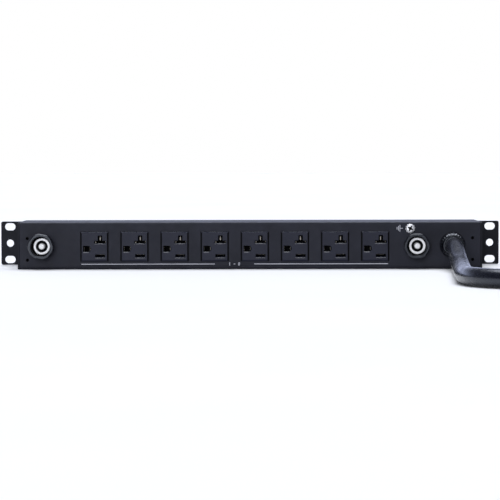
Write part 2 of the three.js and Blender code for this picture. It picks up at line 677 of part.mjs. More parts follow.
function makePlug() {
  const tailStart = COIL_CENTRE_X + COIL_CLEAR;
  const tailZ = COIL_BOTTOM + 1.5 * CORD_DIAMETER;
  const capStart = tailStart + TAIL_LENGTH;
  const tail = [
    [tailStart, TANGENT_Y, tailZ],
    [tailStart + TAIL_LENGTH / 2, TANGENT_Y, (tailZ + PLUG_RADIUS) / 2],
    [capStart - GAP, TANGENT_Y, PLUG_RADIUS],
  ];
  add(part, 'cord_tail', tube(tail, CORD_RADIUS, 10, 3), jacket);
  const cap = [[0, 0], ...PLUG_CAP_PROFILE, [0, PLUG_CAP_LENGTH]];
  add(part, 'plug_cap', turnedRight(cap, 32), darkPlastic).position.set(capStart, TANGENT_Y, PLUG_RADIUS);
  const bodyStart = capStart + PLUG_CAP_LENGTH + GAP;
  const nose = PLUG_BODY_LENGTH - PLUG_NOSE_LENGTH;
  const body = [
    [0, 0], [PLUG_RADIUS, 0], [PLUG_RADIUS, nose - 1], [PLUG_NOSE_RADIUS, nose],
    [PLUG_NOSE_RADIUS, PLUG_BODY_LENGTH - 1], [PLUG_NOSE_RADIUS - 1, PLUG_BODY_LENGTH], [0, PLUG_BODY_LENGTH],
  ];
  add(part, 'plug_body', turnedRight(body, 32), darkPlastic).position.set(bodyStart, TANGENT_Y, PLUG_RADIUS);
  const bladeStart = bodyStart + PLUG_BODY_LENGTH + GAP;
  for (const [name, [middle, half]] of Object.entries(BLADES)) {
    const from = THREE.MathUtils.degToRad(middle - half);
    const to = THREE.MathUtils.degToRad(middle + half);
    const geometry = alongX(blade(BLADE_RADIUS, BLADE_THICKNESS, from, to), 0, BLADE_LENGTH, 6);
    const mesh = add(part, `plug_blade_${name}`, geometry, brass);
    mesh.position.set(bladeStart, TANGENT_Y, PLUG_RADIUS);
  }
}

// Bars behind the outlets. A hairpin serves both banks, and a straight bar serves one.
function makeHairpin(name, z, finish) {
  const near = NEAR + OUTLET_BODY_DEPTH + GAP;
  const far = FAR - OUTLET_BODY_DEPTH - GAP;
  const inner = BAR_THICKNESS;
  const outline = polygon([
    [BARS_LEFT, near], [BARS_RIGHT, near], [BARS_RIGHT, far], [BARS_LEFT, far],
    [BARS_LEFT, far - inner], [BARS_RIGHT - inner, far - inner],
    [BARS_RIGHT - inner, near + inner], [BARS_LEFT, near + inner],
  ]);
  add(part, name, alongZ(outline, z - BAR_HEIGHT / 2, BAR_HEIGHT), finish);
}

function makeHotBar(name, start) {
  const bar = box([BARS_LEFT, BARS_RIGHT], [start, start + BAR_THICKNESS], [-BAR_HEIGHT / 2, BAR_HEIGHT / 2]);
  add(part, name, bar, brass).position.z = HOT_BAR_Z;
}

function makeBars() {
  makeHairpin('neutral_bar', NEUTRAL_BAR_Z, brass);
  makeHairpin('ground_bar', GROUND_BAR_Z, brass);
  makeHotBar('hot_bar_near', NEAR + OUTLET_BODY_DEPTH + GAP);
  makeHotBar('hot_bar_far', FAR - OUTLET_BODY_DEPTH - GAP - BAR_THICKNESS);
}

// Inner wires. Each point is [x, distance behind the near panel, z].
const INNER_WIRES = {
  supply_wire_hot: [
    jacket, 30,
    [[193.5, 13, 20], [193.4, 24, 19], [184, 38, 14], [168, 43.6, 13], [140, 46, 12], [100, 46, 12],
      [0, 46, 12], [-100, 46, 12], [-160, 46, 12], [-184, 45, 14]],
  ],
  supply_wire_neutral: [
    whiteJacket, 10,
    [[188.7, 13, 26.5], [188.7, 24, 27], [184, 40, 29], [170, 50, 31], [150, 52, 31], [135.4, 50, 31]],
  ],
  supply_wire_ground: [
    greenJacket, 12,
    [[183.8, 13.5, 22], [182, 19, 24], [178, 19, 32], [172, 19.5, 37.8], [160, 19, 38.6], [146, 18, 38.4],
      [140, 22, 33], [138, 32, 24], [135.4, 36, 19]],
  ],
  load_wire_near: [
    jacket, 10,
    [[152, 42.6, 29.2], [145, 41, 24], [141, 36, 15], [138, 30, 10], [135.4, 27.9, 8]],
  ],
  load_wire_far: [
    jacket, 10,
    [[-190, 42.6, 29.2], [-184, 48, 26], [-176, 56, 16], [-168, 60, 10], [-162.4, 60.1, 8]],
  ],
};

function makeInnerWires() {
  for (const [name, [finish, steps, points]] of Object.entries(INNER_WIRES)) {
    const route = points.map(([x, behind, z]) => [x, NEAR + behind, z]);
    add(part, name, tube(route, WIRE_RADIUS, 8, steps), finish);
  }
}

makeHousing();
makeBottomCover();
COVER_SCREWS.forEach(([x, y], i) => makeCoverScrew(`cover_screw_${i + 1}`, x, y));
for (const [word, side] of [['left', -1], ['right', 1]]) {
  makeEndPlate(`end_plate_${word}`, side);
  makeEar(`ear_${word}`, side);
  EAR_SCREWS.forEach(([y, z], i) => makeEarScrew(`ear_screw_${word}_${i + 1}`, side, y, z));
  makeBreaker(word, BREAKERS[word]);
}
makeOutlets();
makeGroundScrew();
makeStrainRelief();
makeCord();
makeTie();
makePlug();
makeBars();
makeInnerWires();

export default part;
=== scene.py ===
"""The rack power strip's looks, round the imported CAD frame. Metres, +Z up, the breaker side faces -Y."""
import math

import bmesh
import bpy
from mathutils import Matrix, Vector
from mathutils.geometry import tessellate_polygon


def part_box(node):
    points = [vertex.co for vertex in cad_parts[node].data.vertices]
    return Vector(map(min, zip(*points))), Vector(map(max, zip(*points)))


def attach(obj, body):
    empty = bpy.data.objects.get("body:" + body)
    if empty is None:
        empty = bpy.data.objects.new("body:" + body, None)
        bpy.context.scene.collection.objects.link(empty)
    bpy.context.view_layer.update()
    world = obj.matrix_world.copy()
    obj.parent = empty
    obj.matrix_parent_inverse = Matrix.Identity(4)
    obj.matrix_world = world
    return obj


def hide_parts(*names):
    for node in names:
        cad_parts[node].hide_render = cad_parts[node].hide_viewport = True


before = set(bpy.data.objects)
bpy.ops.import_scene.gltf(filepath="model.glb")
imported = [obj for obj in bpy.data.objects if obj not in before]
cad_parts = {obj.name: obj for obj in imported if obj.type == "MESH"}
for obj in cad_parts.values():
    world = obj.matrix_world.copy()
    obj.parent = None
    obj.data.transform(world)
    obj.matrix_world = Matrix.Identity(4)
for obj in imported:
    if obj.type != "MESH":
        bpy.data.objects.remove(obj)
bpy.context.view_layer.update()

MM = 0.001               # outlines are written in millimetres

# Places and sizes that come from the frame
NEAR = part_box("housing")[0].y
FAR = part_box("housing")[1].y
OUTLETS = 8

# Where each bank's panel has its outer face, with local -y pointing out of it
BANKS = {
    "near": Matrix.Translation((0, NEAR, 0)),
    "far": Matrix.Translation((0, FAR, 0)) @ Matrix.Rotation(math.pi, 4, "Z"),
}


def middle(node):
    low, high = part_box(node)
    return (low + high) / 2


# ---------------------------------------------------------------- camera

CAMERA_DISTANCE = 2.120
CAMERA_HEIGHT = 0.105
CAMERA_PITCH = math.radians(2.354)
CAMERA_ROLL = math.radians(-0.1)
CAMERA_LENS = 163.8
CAMERA_SENSOR = 36
CAMERA_SEES = 50


def make_camera():
    data = bpy.data.cameras.new("camera")
    data.lens = CAMERA_LENS
    data.sensor_width = CAMERA_SENSOR
    data.clip_end = CAMERA_SEES
    camera = bpy.data.objects.new("camera", data)
    bpy.context.scene.collection.objects.link(camera)
    tilt = Matrix.Rotation(math.pi / 2 - CAMERA_PITCH, 4, "X")
    roll = Matrix.Rotation(CAMERA_ROLL, 4, "Z")
    place = Matrix.Translation((0, NEAR - CAMERA_DISTANCE, CAMERA_HEIGHT))
    camera.matrix_world = place @ tilt @ roll
    bpy.context.scene.camera = camera


make_camera()


# ---------------------------------------------------------------- materials

def new_material(name, color, roughness, metallic=0.0, specular=0.5):
    """A principled material, with its nodes, links and shader."""
    material = bpy.data.materials.new(name)
    material.use_nodes = True
    nodes = material.node_tree.nodes
    shader = nodes["Principled BSDF"]
    shader.inputs["Base Color"].default_value = (*color, 1)
    shader.inputs["Roughness"].default_value = roughness
    shader.inputs["Metallic"].default_value = metallic
    shader.inputs["Specular IOR Level"].default_value = specular
    return material, nodes, material.node_tree.links, shader


def pattern(nodes, links, scale, detail=3.0, stretch=(1, 1, 1)):
    """Noise in the piece's own space, stretched along its axes."""
    place = nodes.new("ShaderNodeTexCoord")
    mapping = nodes.new("ShaderNodeMapping")
    mapping.inputs["Scale"].default_value = stretch
    noise = nodes.new("ShaderNodeTexNoise")
    noise.inputs["Scale"].default_value = scale
    noise.inputs["Detail"].default_value = detail
    links.new(place.outputs["Object"], mapping.inputs["Vector"])
    links.new(mapping.outputs["Vector"], noise.inputs["Vector"])
    return noise.outputs["Fac"]


def between(nodes, links, value, low, high, start=0.35, end=0.65):
    """The value's middle stretch, spread from low to high."""
    spread = nodes.new("ShaderNodeMapRange")
    spread.inputs["From Min"].default_value = start
    spread.inputs["From Max"].default_value = end
    spread.inputs["To Min"].default_value = low
    spread.inputs["To Max"].default_value = high
    links.new(value, spread.inputs["Value"])
    return spread.outputs["Result"]


def tinted(nodes, links, value, dark, light):
    """A colour between two, by the value."""
    mix = nodes.new("ShaderNodeMix")
    mix.data_type = "RGBA"
    mix.inputs["A"].default_value = (*dark, 1)
    mix.inputs["B"].default_value = (*light, 1)
    links.new(value, mix.inputs["Factor"])
    return mix.outputs["Result"]


def bumped(nodes, links, shader, height, distance):
    """The height as a fine relief on the shader, the distance in metres."""
    bump = nodes.new("ShaderNodeBump")
    bump.inputs["Distance"].default_value = distance
    bump.inputs["Strength"].default_value = 1.0
    links.new(height, bump.inputs["Height"])
    links.new(bump.outputs["Normal"], shader.inputs["Normal"])


def scaled(color, factor):
    return tuple(c * factor for c in color)


def coated(name, color, roughness, specular, grain, depth, tint=(1, 1, 1)):
    """Paint or moulded plastic: a faint tone, a fine grain and patches of more and less gloss."""
    material, nodes, links, shader = new_material(name, color, roughness, specular=specular)
    shader.inputs["Specular Tint"].default_value = (*tint, 1)
    tone = between(nodes, links, pattern(nodes, links, 45), 0, 1)
    links.new(
        tinted(nodes, links, tone, scaled(color, 0.88), scaled(color, 1.12)),
        shader.inputs["Base Color"],
    )
    gloss = between(nodes, links, pattern(nodes, links, 160, 4), roughness - 0.04, roughness + 0.05)
    links.new(gloss, shader.inputs["Roughness"])
    bumped(nodes, links, shader, pattern(nodes, links, grain, 2), depth)
    return material


def plated(name, color, roughness, stretch=(1, 1, 1), metallic=1.0):
    """Bright metal with fine drawing marks."""
    material, nodes, links, shader = new_material(name, color, roughness, metallic=metallic)
    marks = pattern(nodes, links, 900, 3, stretch)
    links.new(between(nodes, links, marks, roughness * 0.8, roughness * 1.4), shader.inputs["Roughness"])
    tone = between(nodes, links, pattern(nodes, links, 250), 0, 1)
    links.new(
        tinted(nodes, links, tone, scaled(color, 0.93), scaled(color, 1.0)),
        shader.inputs["Base Color"],
    )
    bumped(nodes, links, shader, marks, 0.000004)
    return material


COOL = (0.86, 0.91, 1.0)

# Name, colour, roughness, specular level, grain's scale, grain's depth in metres, tint of the gloss
POWDER_COAT = coated("powder_coat", (0.0128, 0.0138, 0.0216), 0.50, 0.15, 2600, 0.000022)
# The ears' coat, also put on the end plates as painted shade, a dark line at the body's ends
EAR_COAT_AND_END_SHADE = coated("ear_coat_and_end_shade", (0.0058, 0.0066, 0.0105), 0.5, 0.13, 2600, 0.000022)
OUTLET_PLASTIC = coated("outlet_plastic", (0.0112, 0.0126, 0.0240), 0.40, 0.17, 3800, 0.000008)
# Painted highlight: a lighter, glossier plastic for the outlets' edges that look up
OUTLET_EDGE_HIGHLIGHT = coated("outlet_edge_highlight", (0.0150, 0.0170, 0.0300), 0.26, 0.68, 3800, 0.000004)
# Painted shade: a near-black put in slots, recesses, gaps and on the outlets' sides, where shade falls
PAINTED_SHADE = coated("painted_shade", (0.0022, 0.0023, 0.0032), 0.6, 0.08, 3800, 0.000008)
BLACK_NYLON = coated("black_nylon", (0.0050, 0.0058, 0.0088), 0.22, 0.55, 3000, 0.000003, COOL)
RELIEF_NYLON = coated("relief_nylon", (0.0030, 0.0036, 0.0058), 0.20, 1.0, 3000, 0.000002, COOL)
PLUG_NYLON = coated("plug_nylon", (0.013, 0.013, 0.015), 0.42, 0.45, 1800, 0.00002)
WHITE_NYLON = coated("white_nylon", (0.80, 0.80, 0.80), 0.34, 0.4, 3000, 0.000004)
WHITE_INK = coated("white_ink", (0.66, 0.67, 0.74), 0.6, 0.3, 5200, 0.000004)
CORD_JACKET = coated("cord_jacket", (0.0060, 0.0070, 0.0120), 0.26, 0.72, 900, 0.000006, COOL)
GREEN_JACKET = coated("green_jacket", (0.03, 0.20, 0.06), 0.45, 0.5, 900, 0.00002)
WHITE_JACKET = coated("white_jacket", (0.66, 0.66, 0.64), 0.45, 0.5, 900, 0.00002)
STRAP = coated("strap", (0.016, 0.017, 0.021), 0.75, 0.2, 700, 0.00012)

# Name, colour, roughness
SATIN_NICKEL = plated("satin_nickel", (0.97, 0.97, 0.98), 0.38, metallic=0.1)
DULL_NICKEL = plated("dull_nickel", (0.66, 0.66, 0.68), 0.34, metallic=0.6)
ZINC = plated("zinc", (0.62, 0.63, 0.66), 0.36)
BRASS = plated("brass", (0.74, 0.52, 0.24), 0.26)
ROLLED_BRASS = plated("rolled_brass", (0.72, 0.50, 0.22), 0.32, stretch=(0.05, 1, 1))
CONTACT_METAL = plated("contact_metal", (0.25, 0.23, 0.20), 0.42)

# The finish of each CAD node whose shape stays, by its name or the start of its name
NODE_LOOKS = {
    "housing": POWDER_COAT,
    "bottom_cover": POWDER_COAT,
    # The end plates take the darker ear coat as painted shade along the body's ends
    "end_plate": EAR_COAT_AND_END_SHADE,
    "ear": EAR_COAT_AND_END_SHADE,
    "breaker_body": BLACK_NYLON,
    "relief_locknut": BLACK_NYLON,
    "neutral_bar": ROLLED_BRASS,
    "ground_bar": ROLLED_BRASS,
    "hot_bar": ROLLED_BRASS,
    "supply_wire_hot": CORD_JACKET,
    "supply_wire_neutral": WHITE_JACKET,
    "supply_wire_ground": GREEN_JACKET,
    "load_wire": CORD_JACKET,
}


def paint_nodes():
    for start, material in NODE_LOOKS.items():
        for name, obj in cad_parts.items():
            if name == start or name.startswith(start + "_") and "screw" not in name:
                obj.data.materials.clear()
                obj.data.materials.append(material)


paint_nodes()


# ---------------------------------------------------------------- mesh tools

def mesh_piece(name, points, faces, material, sharp=30):
    """An object from points and faces, welded, with its faces turned out and its hard edges kept."""
    mesh = bpy.data.meshes.new(name)
    mesh.from_pydata([tuple(p) for p in points], [], faces)
    solid = bmesh.new()
    solid.from_mesh(mesh)
    bmesh.ops.remove_doubles(solid, verts=solid.verts, dist=1e-7)
    bmesh.ops.recalc_face_normals(solid, faces=solid.faces)
    solid.to_mesh(mesh)
    solid.free()
    mesh.polygons.foreach_set("use_smooth", [True] * len(mesh.polygons))
    mesh.set_sharp_from_angle(angle=math.radians(sharp))
    mesh.materials.append(material)
    obj = bpy.data.objects.new(name, mesh)
    bpy.context.scene.collection.objects.link(obj)
    return obj


def stand_for(obj, slot, *nodes, body="root"):
    """The object's body, and the nodes that it replaces. The slot, its material slot in the record, is not
    used.
    """
    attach(obj, body)
    if nodes:
        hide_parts(*nodes)
    return obj


def merged(parts):
    """Several (points, faces) lists as one."""
    points, faces = [], []
    for more_points, more_faces in parts:
        start = len(points)
        points += list(more_points)
        faces += [tuple(i + start for i in face) for face in more_faces]
    return points, faces


def placed(part, matrix):
    """The part with its points moved by the matrix."""
    points, faces = part
    return [matrix @ Vector(p) for p in points], faces


def polar(radius, angle):
    return radius * math.cos(angle), radius * math.sin(angle)


def bridge(first, second):
    """The quads between two closed loops of point numbers."""
    n = len(first)
    return [(first[i], first[(i + 1) % n], second[(i + 1) % n], second[i]) for i in range(n)]


def arc_corner(before, corner, after, radius, steps):
    """A corner of a profile rounded by an arc of the given radius."""
    into = (Vector(before) - Vector(corner)).normalized()
    out = (Vector(after) - Vector(corner)).normalized()
    angle = math.acos(max(-1.0, min(1.0, into.dot(out))))
    if radius <= 0 or angle > math.pi - 0.02:
        return [tuple(corner)]
    reach = radius / math.tan(angle / 2)
    centre = Vector(corner) + (into + out).normalized() * (radius / math.sin(angle / 2))
    start = Vector(corner) + into * reach - centre
    end = Vector(corner) + out * reach - centre
    sweep = start.angle_signed(end)
    made = []
    for i in range(steps + 1):
        turn = Matrix.Rotation(-sweep * i / steps, 2)
        made.append(tuple(centre + turn @ start))
    return made


FILLET_STEPS = 3


def profile(corners, closed=False):
    """A profile of (radius, height[, fillet]) corners with its fillets made as arcs."""
    made = []
    count = len(corners)
    for i, corner in enumerate(corners):
        fillet = corner[2] if len(corner) > 2 else 0
        inner = closed or 0 < i < count - 1
        if not inner or fillet <= 0:
            made.append(tuple(corner[:2]))
            continue
        before, after = corners[i - 1], corners[(i + 1) % count]
        made += arc_corner(before[:2], corner[:2], after[:2], fillet, FILLET_STEPS)
    return made


def turned(outline, segments, closed=False):
    """A surface turned about +Z from (radius, height) points that run from low to high outside."""
    points, faces, rings = [], [], []
    for radius, height in outline:
        if radius < 1e-9:
            rings.append([len(points)])
            points.append((0, 0, height))
            continue
        rings.append([len(points) + i for i in range(segments)])
        for i in range(segments):
            points.append((*polar(radius, 2 * math.pi * i / segments), height))
    pairs = list(zip(rings, rings[1:] + rings[:1] if closed else rings[1:]))
    for low, high in pairs:
        if len(low) == 1 and len(high) == 1:
            continue
        if len(low) == 1:
            faces += [(low[0], high[(i + 1) % segments], high[i]) for i in range(segments)]
        elif len(high) == 1:
            faces += [(low[i], low[(i + 1) % segments], high[0]) for i in range(segments)]
        else:
            faces += bridge(low, high)
    return points, faces


def axis_matrix(place, axis):
    """Turns +Z to the axis and moves the origin to the place."""
    turn = Vector((0, 0, 1)).rotation_difference(Vector(axis)).to_matrix().to_4x4()
    return Matrix.Translation(place) @ turn


OUT_OF_NEAR = (0, -1, 0)


def turned_piece(name, corners, place, axis, material, segments, closed=False):
    """A turned object whose corners are in millimetres along its axis from the place."""
    outline = [(r * MM, h * MM) for r, h in profile(corners, closed)]
    points, faces = placed(turned(outline, segments, closed), axis_matrix(place, axis))
    return mesh_piece(name, points, faces, material)


def rounded_rectangle(width, height, radius, steps=4, centre=(0, 0)):
    """A closed loop of (x, z) points, counter-clockwise."""
    loop = []
    corners = [(1, 1), (-1, 1), (-1, -1), (1, -1)]
    for i, (sx, sz) in enumerate(corners):
        cx = centre[0] + sx * (width / 2 - radius)
        cz = centre[1] + sz * (height / 2 - radius)
        for k in range(steps + 1):
            dx, dz = polar(radius, math.pi / 2 * (i + k / steps))
            loop.append((cx + dx, cz + dz))
    return loop


def offset(loop, distance):
    """A counter-clockwise loop moved outwards by the distance, with mitred corners."""
    made = []
    count = len(loop)
    for i, point in enumerate(loop):
        before, after = loop[i - 1], loop[(i + 1) % count]
        a = (Vector(point) - Vector(before)).normalized()
        b = (Vector(after) - Vector(point)).normalized()
        first, second = Vector((a.y, -a.x)), Vector((b.y, -b.x))
        mitre = (first + second) / max(0.2, 1 + first.dot(second))
        made.append((point[0] + distance * mitre.x, point[1] + distance * mitre.y))
    return made


class Stack:
    """A solid made of loops in millimetres at different heights above a face.

    Local x and z lie in the face, and -y points out of it.
    """

    def __init__(self):
        self.points = []
        self.faces = []

    def loop(self, outline, height):
        """A ring of points at the height. Returns their numbers."""
        start = len(self.points)
        self.points += [(x * MM, -height * MM, z * MM) for x, z in outline]
        return list(range(start, len(self.points)))

    def wall(self, front, back):
        self.faces += bridge(back, front)

    def skin(self, rings, closed=False):
        """The walls between rings that run from the front to the back, and round to the first if closed."""
        for front, back in zip(rings, rings[1:] + rings[:1] if closed else rings[1:]):
            self.wall(front, back)

    def lids(self, rings):
        """The flat faces inside the front ring and the back ring."""
        self.fill(rings[0])
        self.fill(rings[-1], facing_out=False)

    def fill(self, outer, holes=(), facing_out=True):
        """The flat face between an outer loop and its holes."""
        rings = [outer, *holes]
        flat = [[Vector((self.points[i][0], self.points[i][2], 0)) for i in ring] for ring in rings]
        numbers = [i for ring in rings for i in ring]
        for triangle in tessellate_polygon(flat):
            corners = [numbers[i] for i in triangle]
            (ax, _, az), (bx, _, bz), (cx, _, cz) = (self.points[i] for i in corners)
            area = (bx - ax) * (cz - az) - (cx - ax) * (bz - az)
            if (area > 0) != facing_out:
                corners.reverse()
            self.faces.append(tuple(corners))

    def pocket(self, levels):
        """A blind hole from the face inwards. levels are (loop, height) pairs. Returns its mouth."""
        rings = [self.loop(outline, height) for outline, height in levels]
        self.skin(rings[::-1])
        self.fill(rings[-1])
        return rings[0]

    def part(self):
        return self.points, self.faces


# ---------------------------------------------------------------- cord

CORD_DIAMETER = 15.8 * MM
CORD_RADIUS = CORD_DIAMETER / 2
LEAD_TURN_RADIUS = 0.072
LEAD_TURN_STEPS = 6
LEAD_INSIDE = 0.010
CORD_IN_CAP = 0.012
COIL_CENTRE_X = 0.318
COIL_MIDDLE_RADIUS = 0.0795
COIL_PITCH = 0.0159
COIL_BOTTOM = 0.0015
COIL_TURNS = 5
COIL_STEPS = 28

# Each point is (x, distance in front of the near panel, z)
LEAD_ROUTE = [
    (0.1887, 0.0123, 0.0224), (0.1886, 0.025, 0.0219), (0.1884, 0.040, 0.0193), (0.1882, 0.056, 0.01515),
    (0.1882, 0.072, 0.011), (0.1879, 0.087, 0.0084), (0.1872, 0.100, 0.0079), (0.185, 0.130, 0.0079),
    (0.182, 0.170, 0.0079), (0.1791, 0.210, 0.0079), (0.1772, 0.236, 0.0079), (0.1753, 0.262, 0.0079),
]


def eased(start, end, at):
    """From 0 at the start to 1 at the end, without a kink."""
    t = min(1.0, max(0.0, (at - start) / (end - start)))
    return t * t * (3 - 2 * t)


def coil_point(turn, centre):
    """A place in the coil: three turns inwards on the surface, then two outwards on top of them."""
    shift = 1 - eased(0.65, 1, turn) - eased(1.65, 2, turn) + eased(3, 3.33, turn) + eased(4, 4.33, turn)
    climb = eased(2.33, 2.73, turn)
    dx, dy = polar(COIL_MIDDLE_RADIUS + COIL_PITCH * shift, 2 * math.pi * turn - math.pi / 2)
    z = COIL_BOTTOM + CORD_RADIUS + CORD_DIAMETER * climb
    return centre[0] + dx, centre[1] + dy, z


def cord_points():
    points = [(x, NEAR - front, z) for x, front, z in LEAD_ROUTE]
    (x1, y1, _), (x2, y2, _) = points[-2:]
    slope = math.atan2(x1 - x2, y1 - y2)
    turn_x = x2 + LEAD_TURN_RADIUS * math.cos(slope)
    turn_y = y2 - LEAD_TURN_RADIUS * math.sin(slope)
    for i in range(1, LEAD_TURN_STEPS + 1):
        angle = math.pi + slope + i / LEAD_TURN_STEPS * (math.pi / 2 - slope)
        dx, dy = polar(LEAD_TURN_RADIUS, angle)
        points.append((turn_x + dx, turn_y + dy, CORD_RADIUS))
    tangent_y = turn_y - LEAD_TURN_RADIUS
    straight = COIL_CENTRE_X - turn_x
    points.append((turn_x + straight * 0.4, tangent_y, CORD_RADIUS))
    points.append((turn_x + straight * 0.8, tangent_y, CORD_RADIUS + COIL_BOTTOM * 0.8))
    centre = (COIL_CENTRE_X, tangent_y + COIL_MIDDLE_RADIUS + COIL_PITCH)
    for i in range(COIL_TURNS * COIL_STEPS + 1):
        points.append(coil_point(i / COIL_STEPS, centre))
    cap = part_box("plug_cap")
    plug_z = middle("plug_cap").z
    last_z = points[-1][2]
    for share in (0.35, 0.7):
        points.append((
            COIL_CENTRE_X + share * (cap[0].x - COIL_CENTRE_X),
            tangent_y,
            last_z + share * (plug_z - last_z),
        ))
    points.append((cap[0].x, tangent_y, plug_z))
    points.append((cap[0].x + CORD_IN_CAP, tangent_y, plug_z))
    return points


def start_inside(points):
    """The cord comes out of the strain relief's bore, so its line starts a little way inside."""
    x, y, z = points[0]
    return [(x, y + LEAD_INSIDE, z), *points]


def make_cord():
    points = start_inside(cord_points())
    data = bpy.data.curves.new("supply_cord", "CURVE")
    data.dimensions = "3D"
    data.bevel_depth = CORD_RADIUS
    data.bevel_resolution = 6
    data.use_fill_caps = True
    data.resolution_u = 3
    spline = data.splines.new("NURBS")
    spline.points.add(len(points) - 1)
    for place, point in zip(spline.points, points):
        place.co = (*point, 1)
    spline.order_u = 4
    spline.use_endpoint_u = True
    data.materials.append(CORD_JACKET)
    cord = bpy.data.objects.new("supply_cord", data)
    bpy.context.scene.collection.objects.link(cord)
    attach(cord, "root")
    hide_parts("cord_lead", "cord_coil", "cord_tail")
    return cord


CORD = make_cord()


# ---------------------------------------------------------------- outlets

OUTLET_PROUD = 1.4
OUTLET_DEPTH = 27.0
SLOT_FLOOR = -12.6
SLOT_X = 5.3
GROUND_X = -6.8
GROUND_Z = -2.15
GROUND_WIDTH = 7.1
GROUND_HEIGHT = 5.5
GROUND_STEPS = 16


def ground_loop():
    """The ground hole: square on one side and round on the other."""
    left, radius = GROUND_X - GROUND_WIDTH / 2, GROUND_HEIGHT / 2
    round_x = GROUND_X + GROUND_WIDTH / 2 - radius
    loop = [(left, GROUND_Z - radius)]
    for i in range(GROUND_STEPS + 1):
        dx, dz = polar(radius, -math.pi / 2 + math.pi * i / GROUND_STEPS)
        loop.append((round_x + dx, GROUND_Z + dz))
    loop.append((left, GROUND_Z + radius))
    return loop


def neutral_loop():
    """The T slot: a bar along the bottom and a leg up from its middle."""
    half, low, high, leg, top = 5.3, 3.05, 5.35, 1.9, 10.2
    return [
        (SLOT_X - half, low), (SLOT_X + half, low), (SLOT_X + half, high), (SLOT_X + leg, high),
        (SLOT_X + leg, top), (SLOT_X - leg, top), (SLOT_X - leg, high), (SLOT_X - half, high),
    ]


def hot_loop():
    """The plain slot."""
    half, low, high = 4.5, -9.65, -7.35
    return [(SLOT_X - half, low), (SLOT_X + half, low), (SLOT_X + half, high), (SLOT_X - half, high)]


MOUTH_EDGE = 0.15
LOWER_SIDE = 0.4


def mouth(loop, lower):
    """A slot's mouth: a small chamfer all round, and a wider one along its lower side."""
    lowest = min(z for _, z in loop) + LOWER_SIDE
    return [
        (x, z - lower + MOUTH_EDGE if old < lowest else z)
        for (x, z), (_, old) in zip(offset(loop, MOUTH_EDGE), loop)
    ]


def outlet_part():
    """The outlet's face, collar and body in one closed surface. The panel's face is at y = 0."""
    solid = Stack()
    top = OUTLET_PROUD
    levels = [
        (23.5, 25.3, 0.35, top),
        (23.8, 25.6, 0.4, top - 0.08),
        (25.6, 27.4, 0.6, 0.5),
        (25.9, 27.7, 0.7, 0.4),
        (25.9, 27.7, 0.7, 0.07),
        (26.5, 28.3, 0.8, 0.06),
        (26.5, 28.3, 0.8, 0.02),
        (22.6, 25.2, 0.5, 0.02),
        (22.6, 25.2, 0.5, -OUTLET_DEPTH + 0.6),
        (21.4, 24.0, 0.5, -OUTLET_DEPTH),
    ]
    rings = [
        solid.loop(rounded_rectangle(width, height, radius), above)
        for width, height, radius, above in levels
    ]
    solid.skin(rings)
    solid.fill(rings[-1], facing_out=False)
    mouths = []
    for loop, lower, depth in (
        (ground_loop(), 0.85, 0.75),
        (neutral_loop(), 0.85, 0.75),
        (hot_loop(), 1.3, 1.15),
    ):
        mouths.append(solid.pocket([
            (mouth(loop, lower), top),
            (loop, top - depth),
            (loop, SLOT_FLOOR),
        ]))
    solid.fill(rings[0], mouths)
    return solid.part()


def leaf_part(x0, x1, z0, z1, front, back, bend):
    """A sprung contact leaf: a strip that leans by the bend from its throat to its lip."""
    solid = Stack()
    x, z = (x0 + x1) / 2, (z0 + z1) / 2
    lip = rounded_rectangle(x1 - x0, z1 - z0, 0.12, 2, (x + bend, z))
    throat = rounded_rectangle(x1 - x0, z1 - z0, 0.12, 2, (x, z))
    first = solid.loop(offset(lip, -0.1), front)
    rings = [first, solid.loop(lip, front - 0.1), solid.loop(throat, front - 2), solid.loop(throat, back)]
    solid.skin(rings)
    solid.lids(rings)
    return solid.part()


def contact_part():
    """The contacts of one outlet: three in the T slot, one in the plain slot, two in the ground hole."""
    ground_right = GROUND_X + GROUND_WIDTH / 2
    return merged([
        leaf_part(SLOT_X - 0.7, SLOT_X + 0.35, 5.6, 9.0, -3.2, -12.4, 0.1),
        leaf_part(SLOT_X - 4.7, SLOT_X - 3.9, 3.4, 4.6, -1.6, -12.4, 0.1),
        leaf_part(SLOT_X + 4.3, SLOT_X + 5.0, 3.3, 5.1, -8.0, -12.4, -0.1),
        leaf_part(SLOT_X - 3.6, SLOT_X + 3.6, -8.2, -7.8, -8.5, -12.4, 0.0),
        leaf_part(ground_right - 1.2, ground_right - 0.85, -3.7, -0.7, -2.4, -12.4, 0.1),
        leaf_part(GROUND_X - 3.3, GROUND_X - 2.9, -4.0, -0.4, -8.0, -12.4, -0.1),
    ])


GROOVE_TOP = 0.075
SLANT = 0.3


def shared_mesh(name, part, material, sharp):
    """A mesh for many objects."""
    piece = mesh_piece(name, *part, material, sharp)
    mesh = piece.data
    bpy.data.objects.remove(piece)
    return mesh


def shade_outlet(mesh):
    """Painted shade in the slots, in the groove round the collar and on the collar's sides, and a painted
    highlight, lighter and glossier, where an edge looks up.
    """
    mesh.materials.append(PAINTED_SHADE)
    mesh.materials.append(OUTLET_EDGE_HIGHLIGHT)
    for face in mesh.polygons:
        # Painted shade on the slots' walls, in the groove round the collar and on all behind it
        if face.center.y > -GROOVE_TOP * MM:
            face.material_index = 1
        # Painted highlight on the edges that look up
        elif face.normal.z > SLANT:
            face.material_index = 2
        # Painted shade on the collar's sides
        elif abs(face.normal.x) > SLANT:
            face.material_index = 1


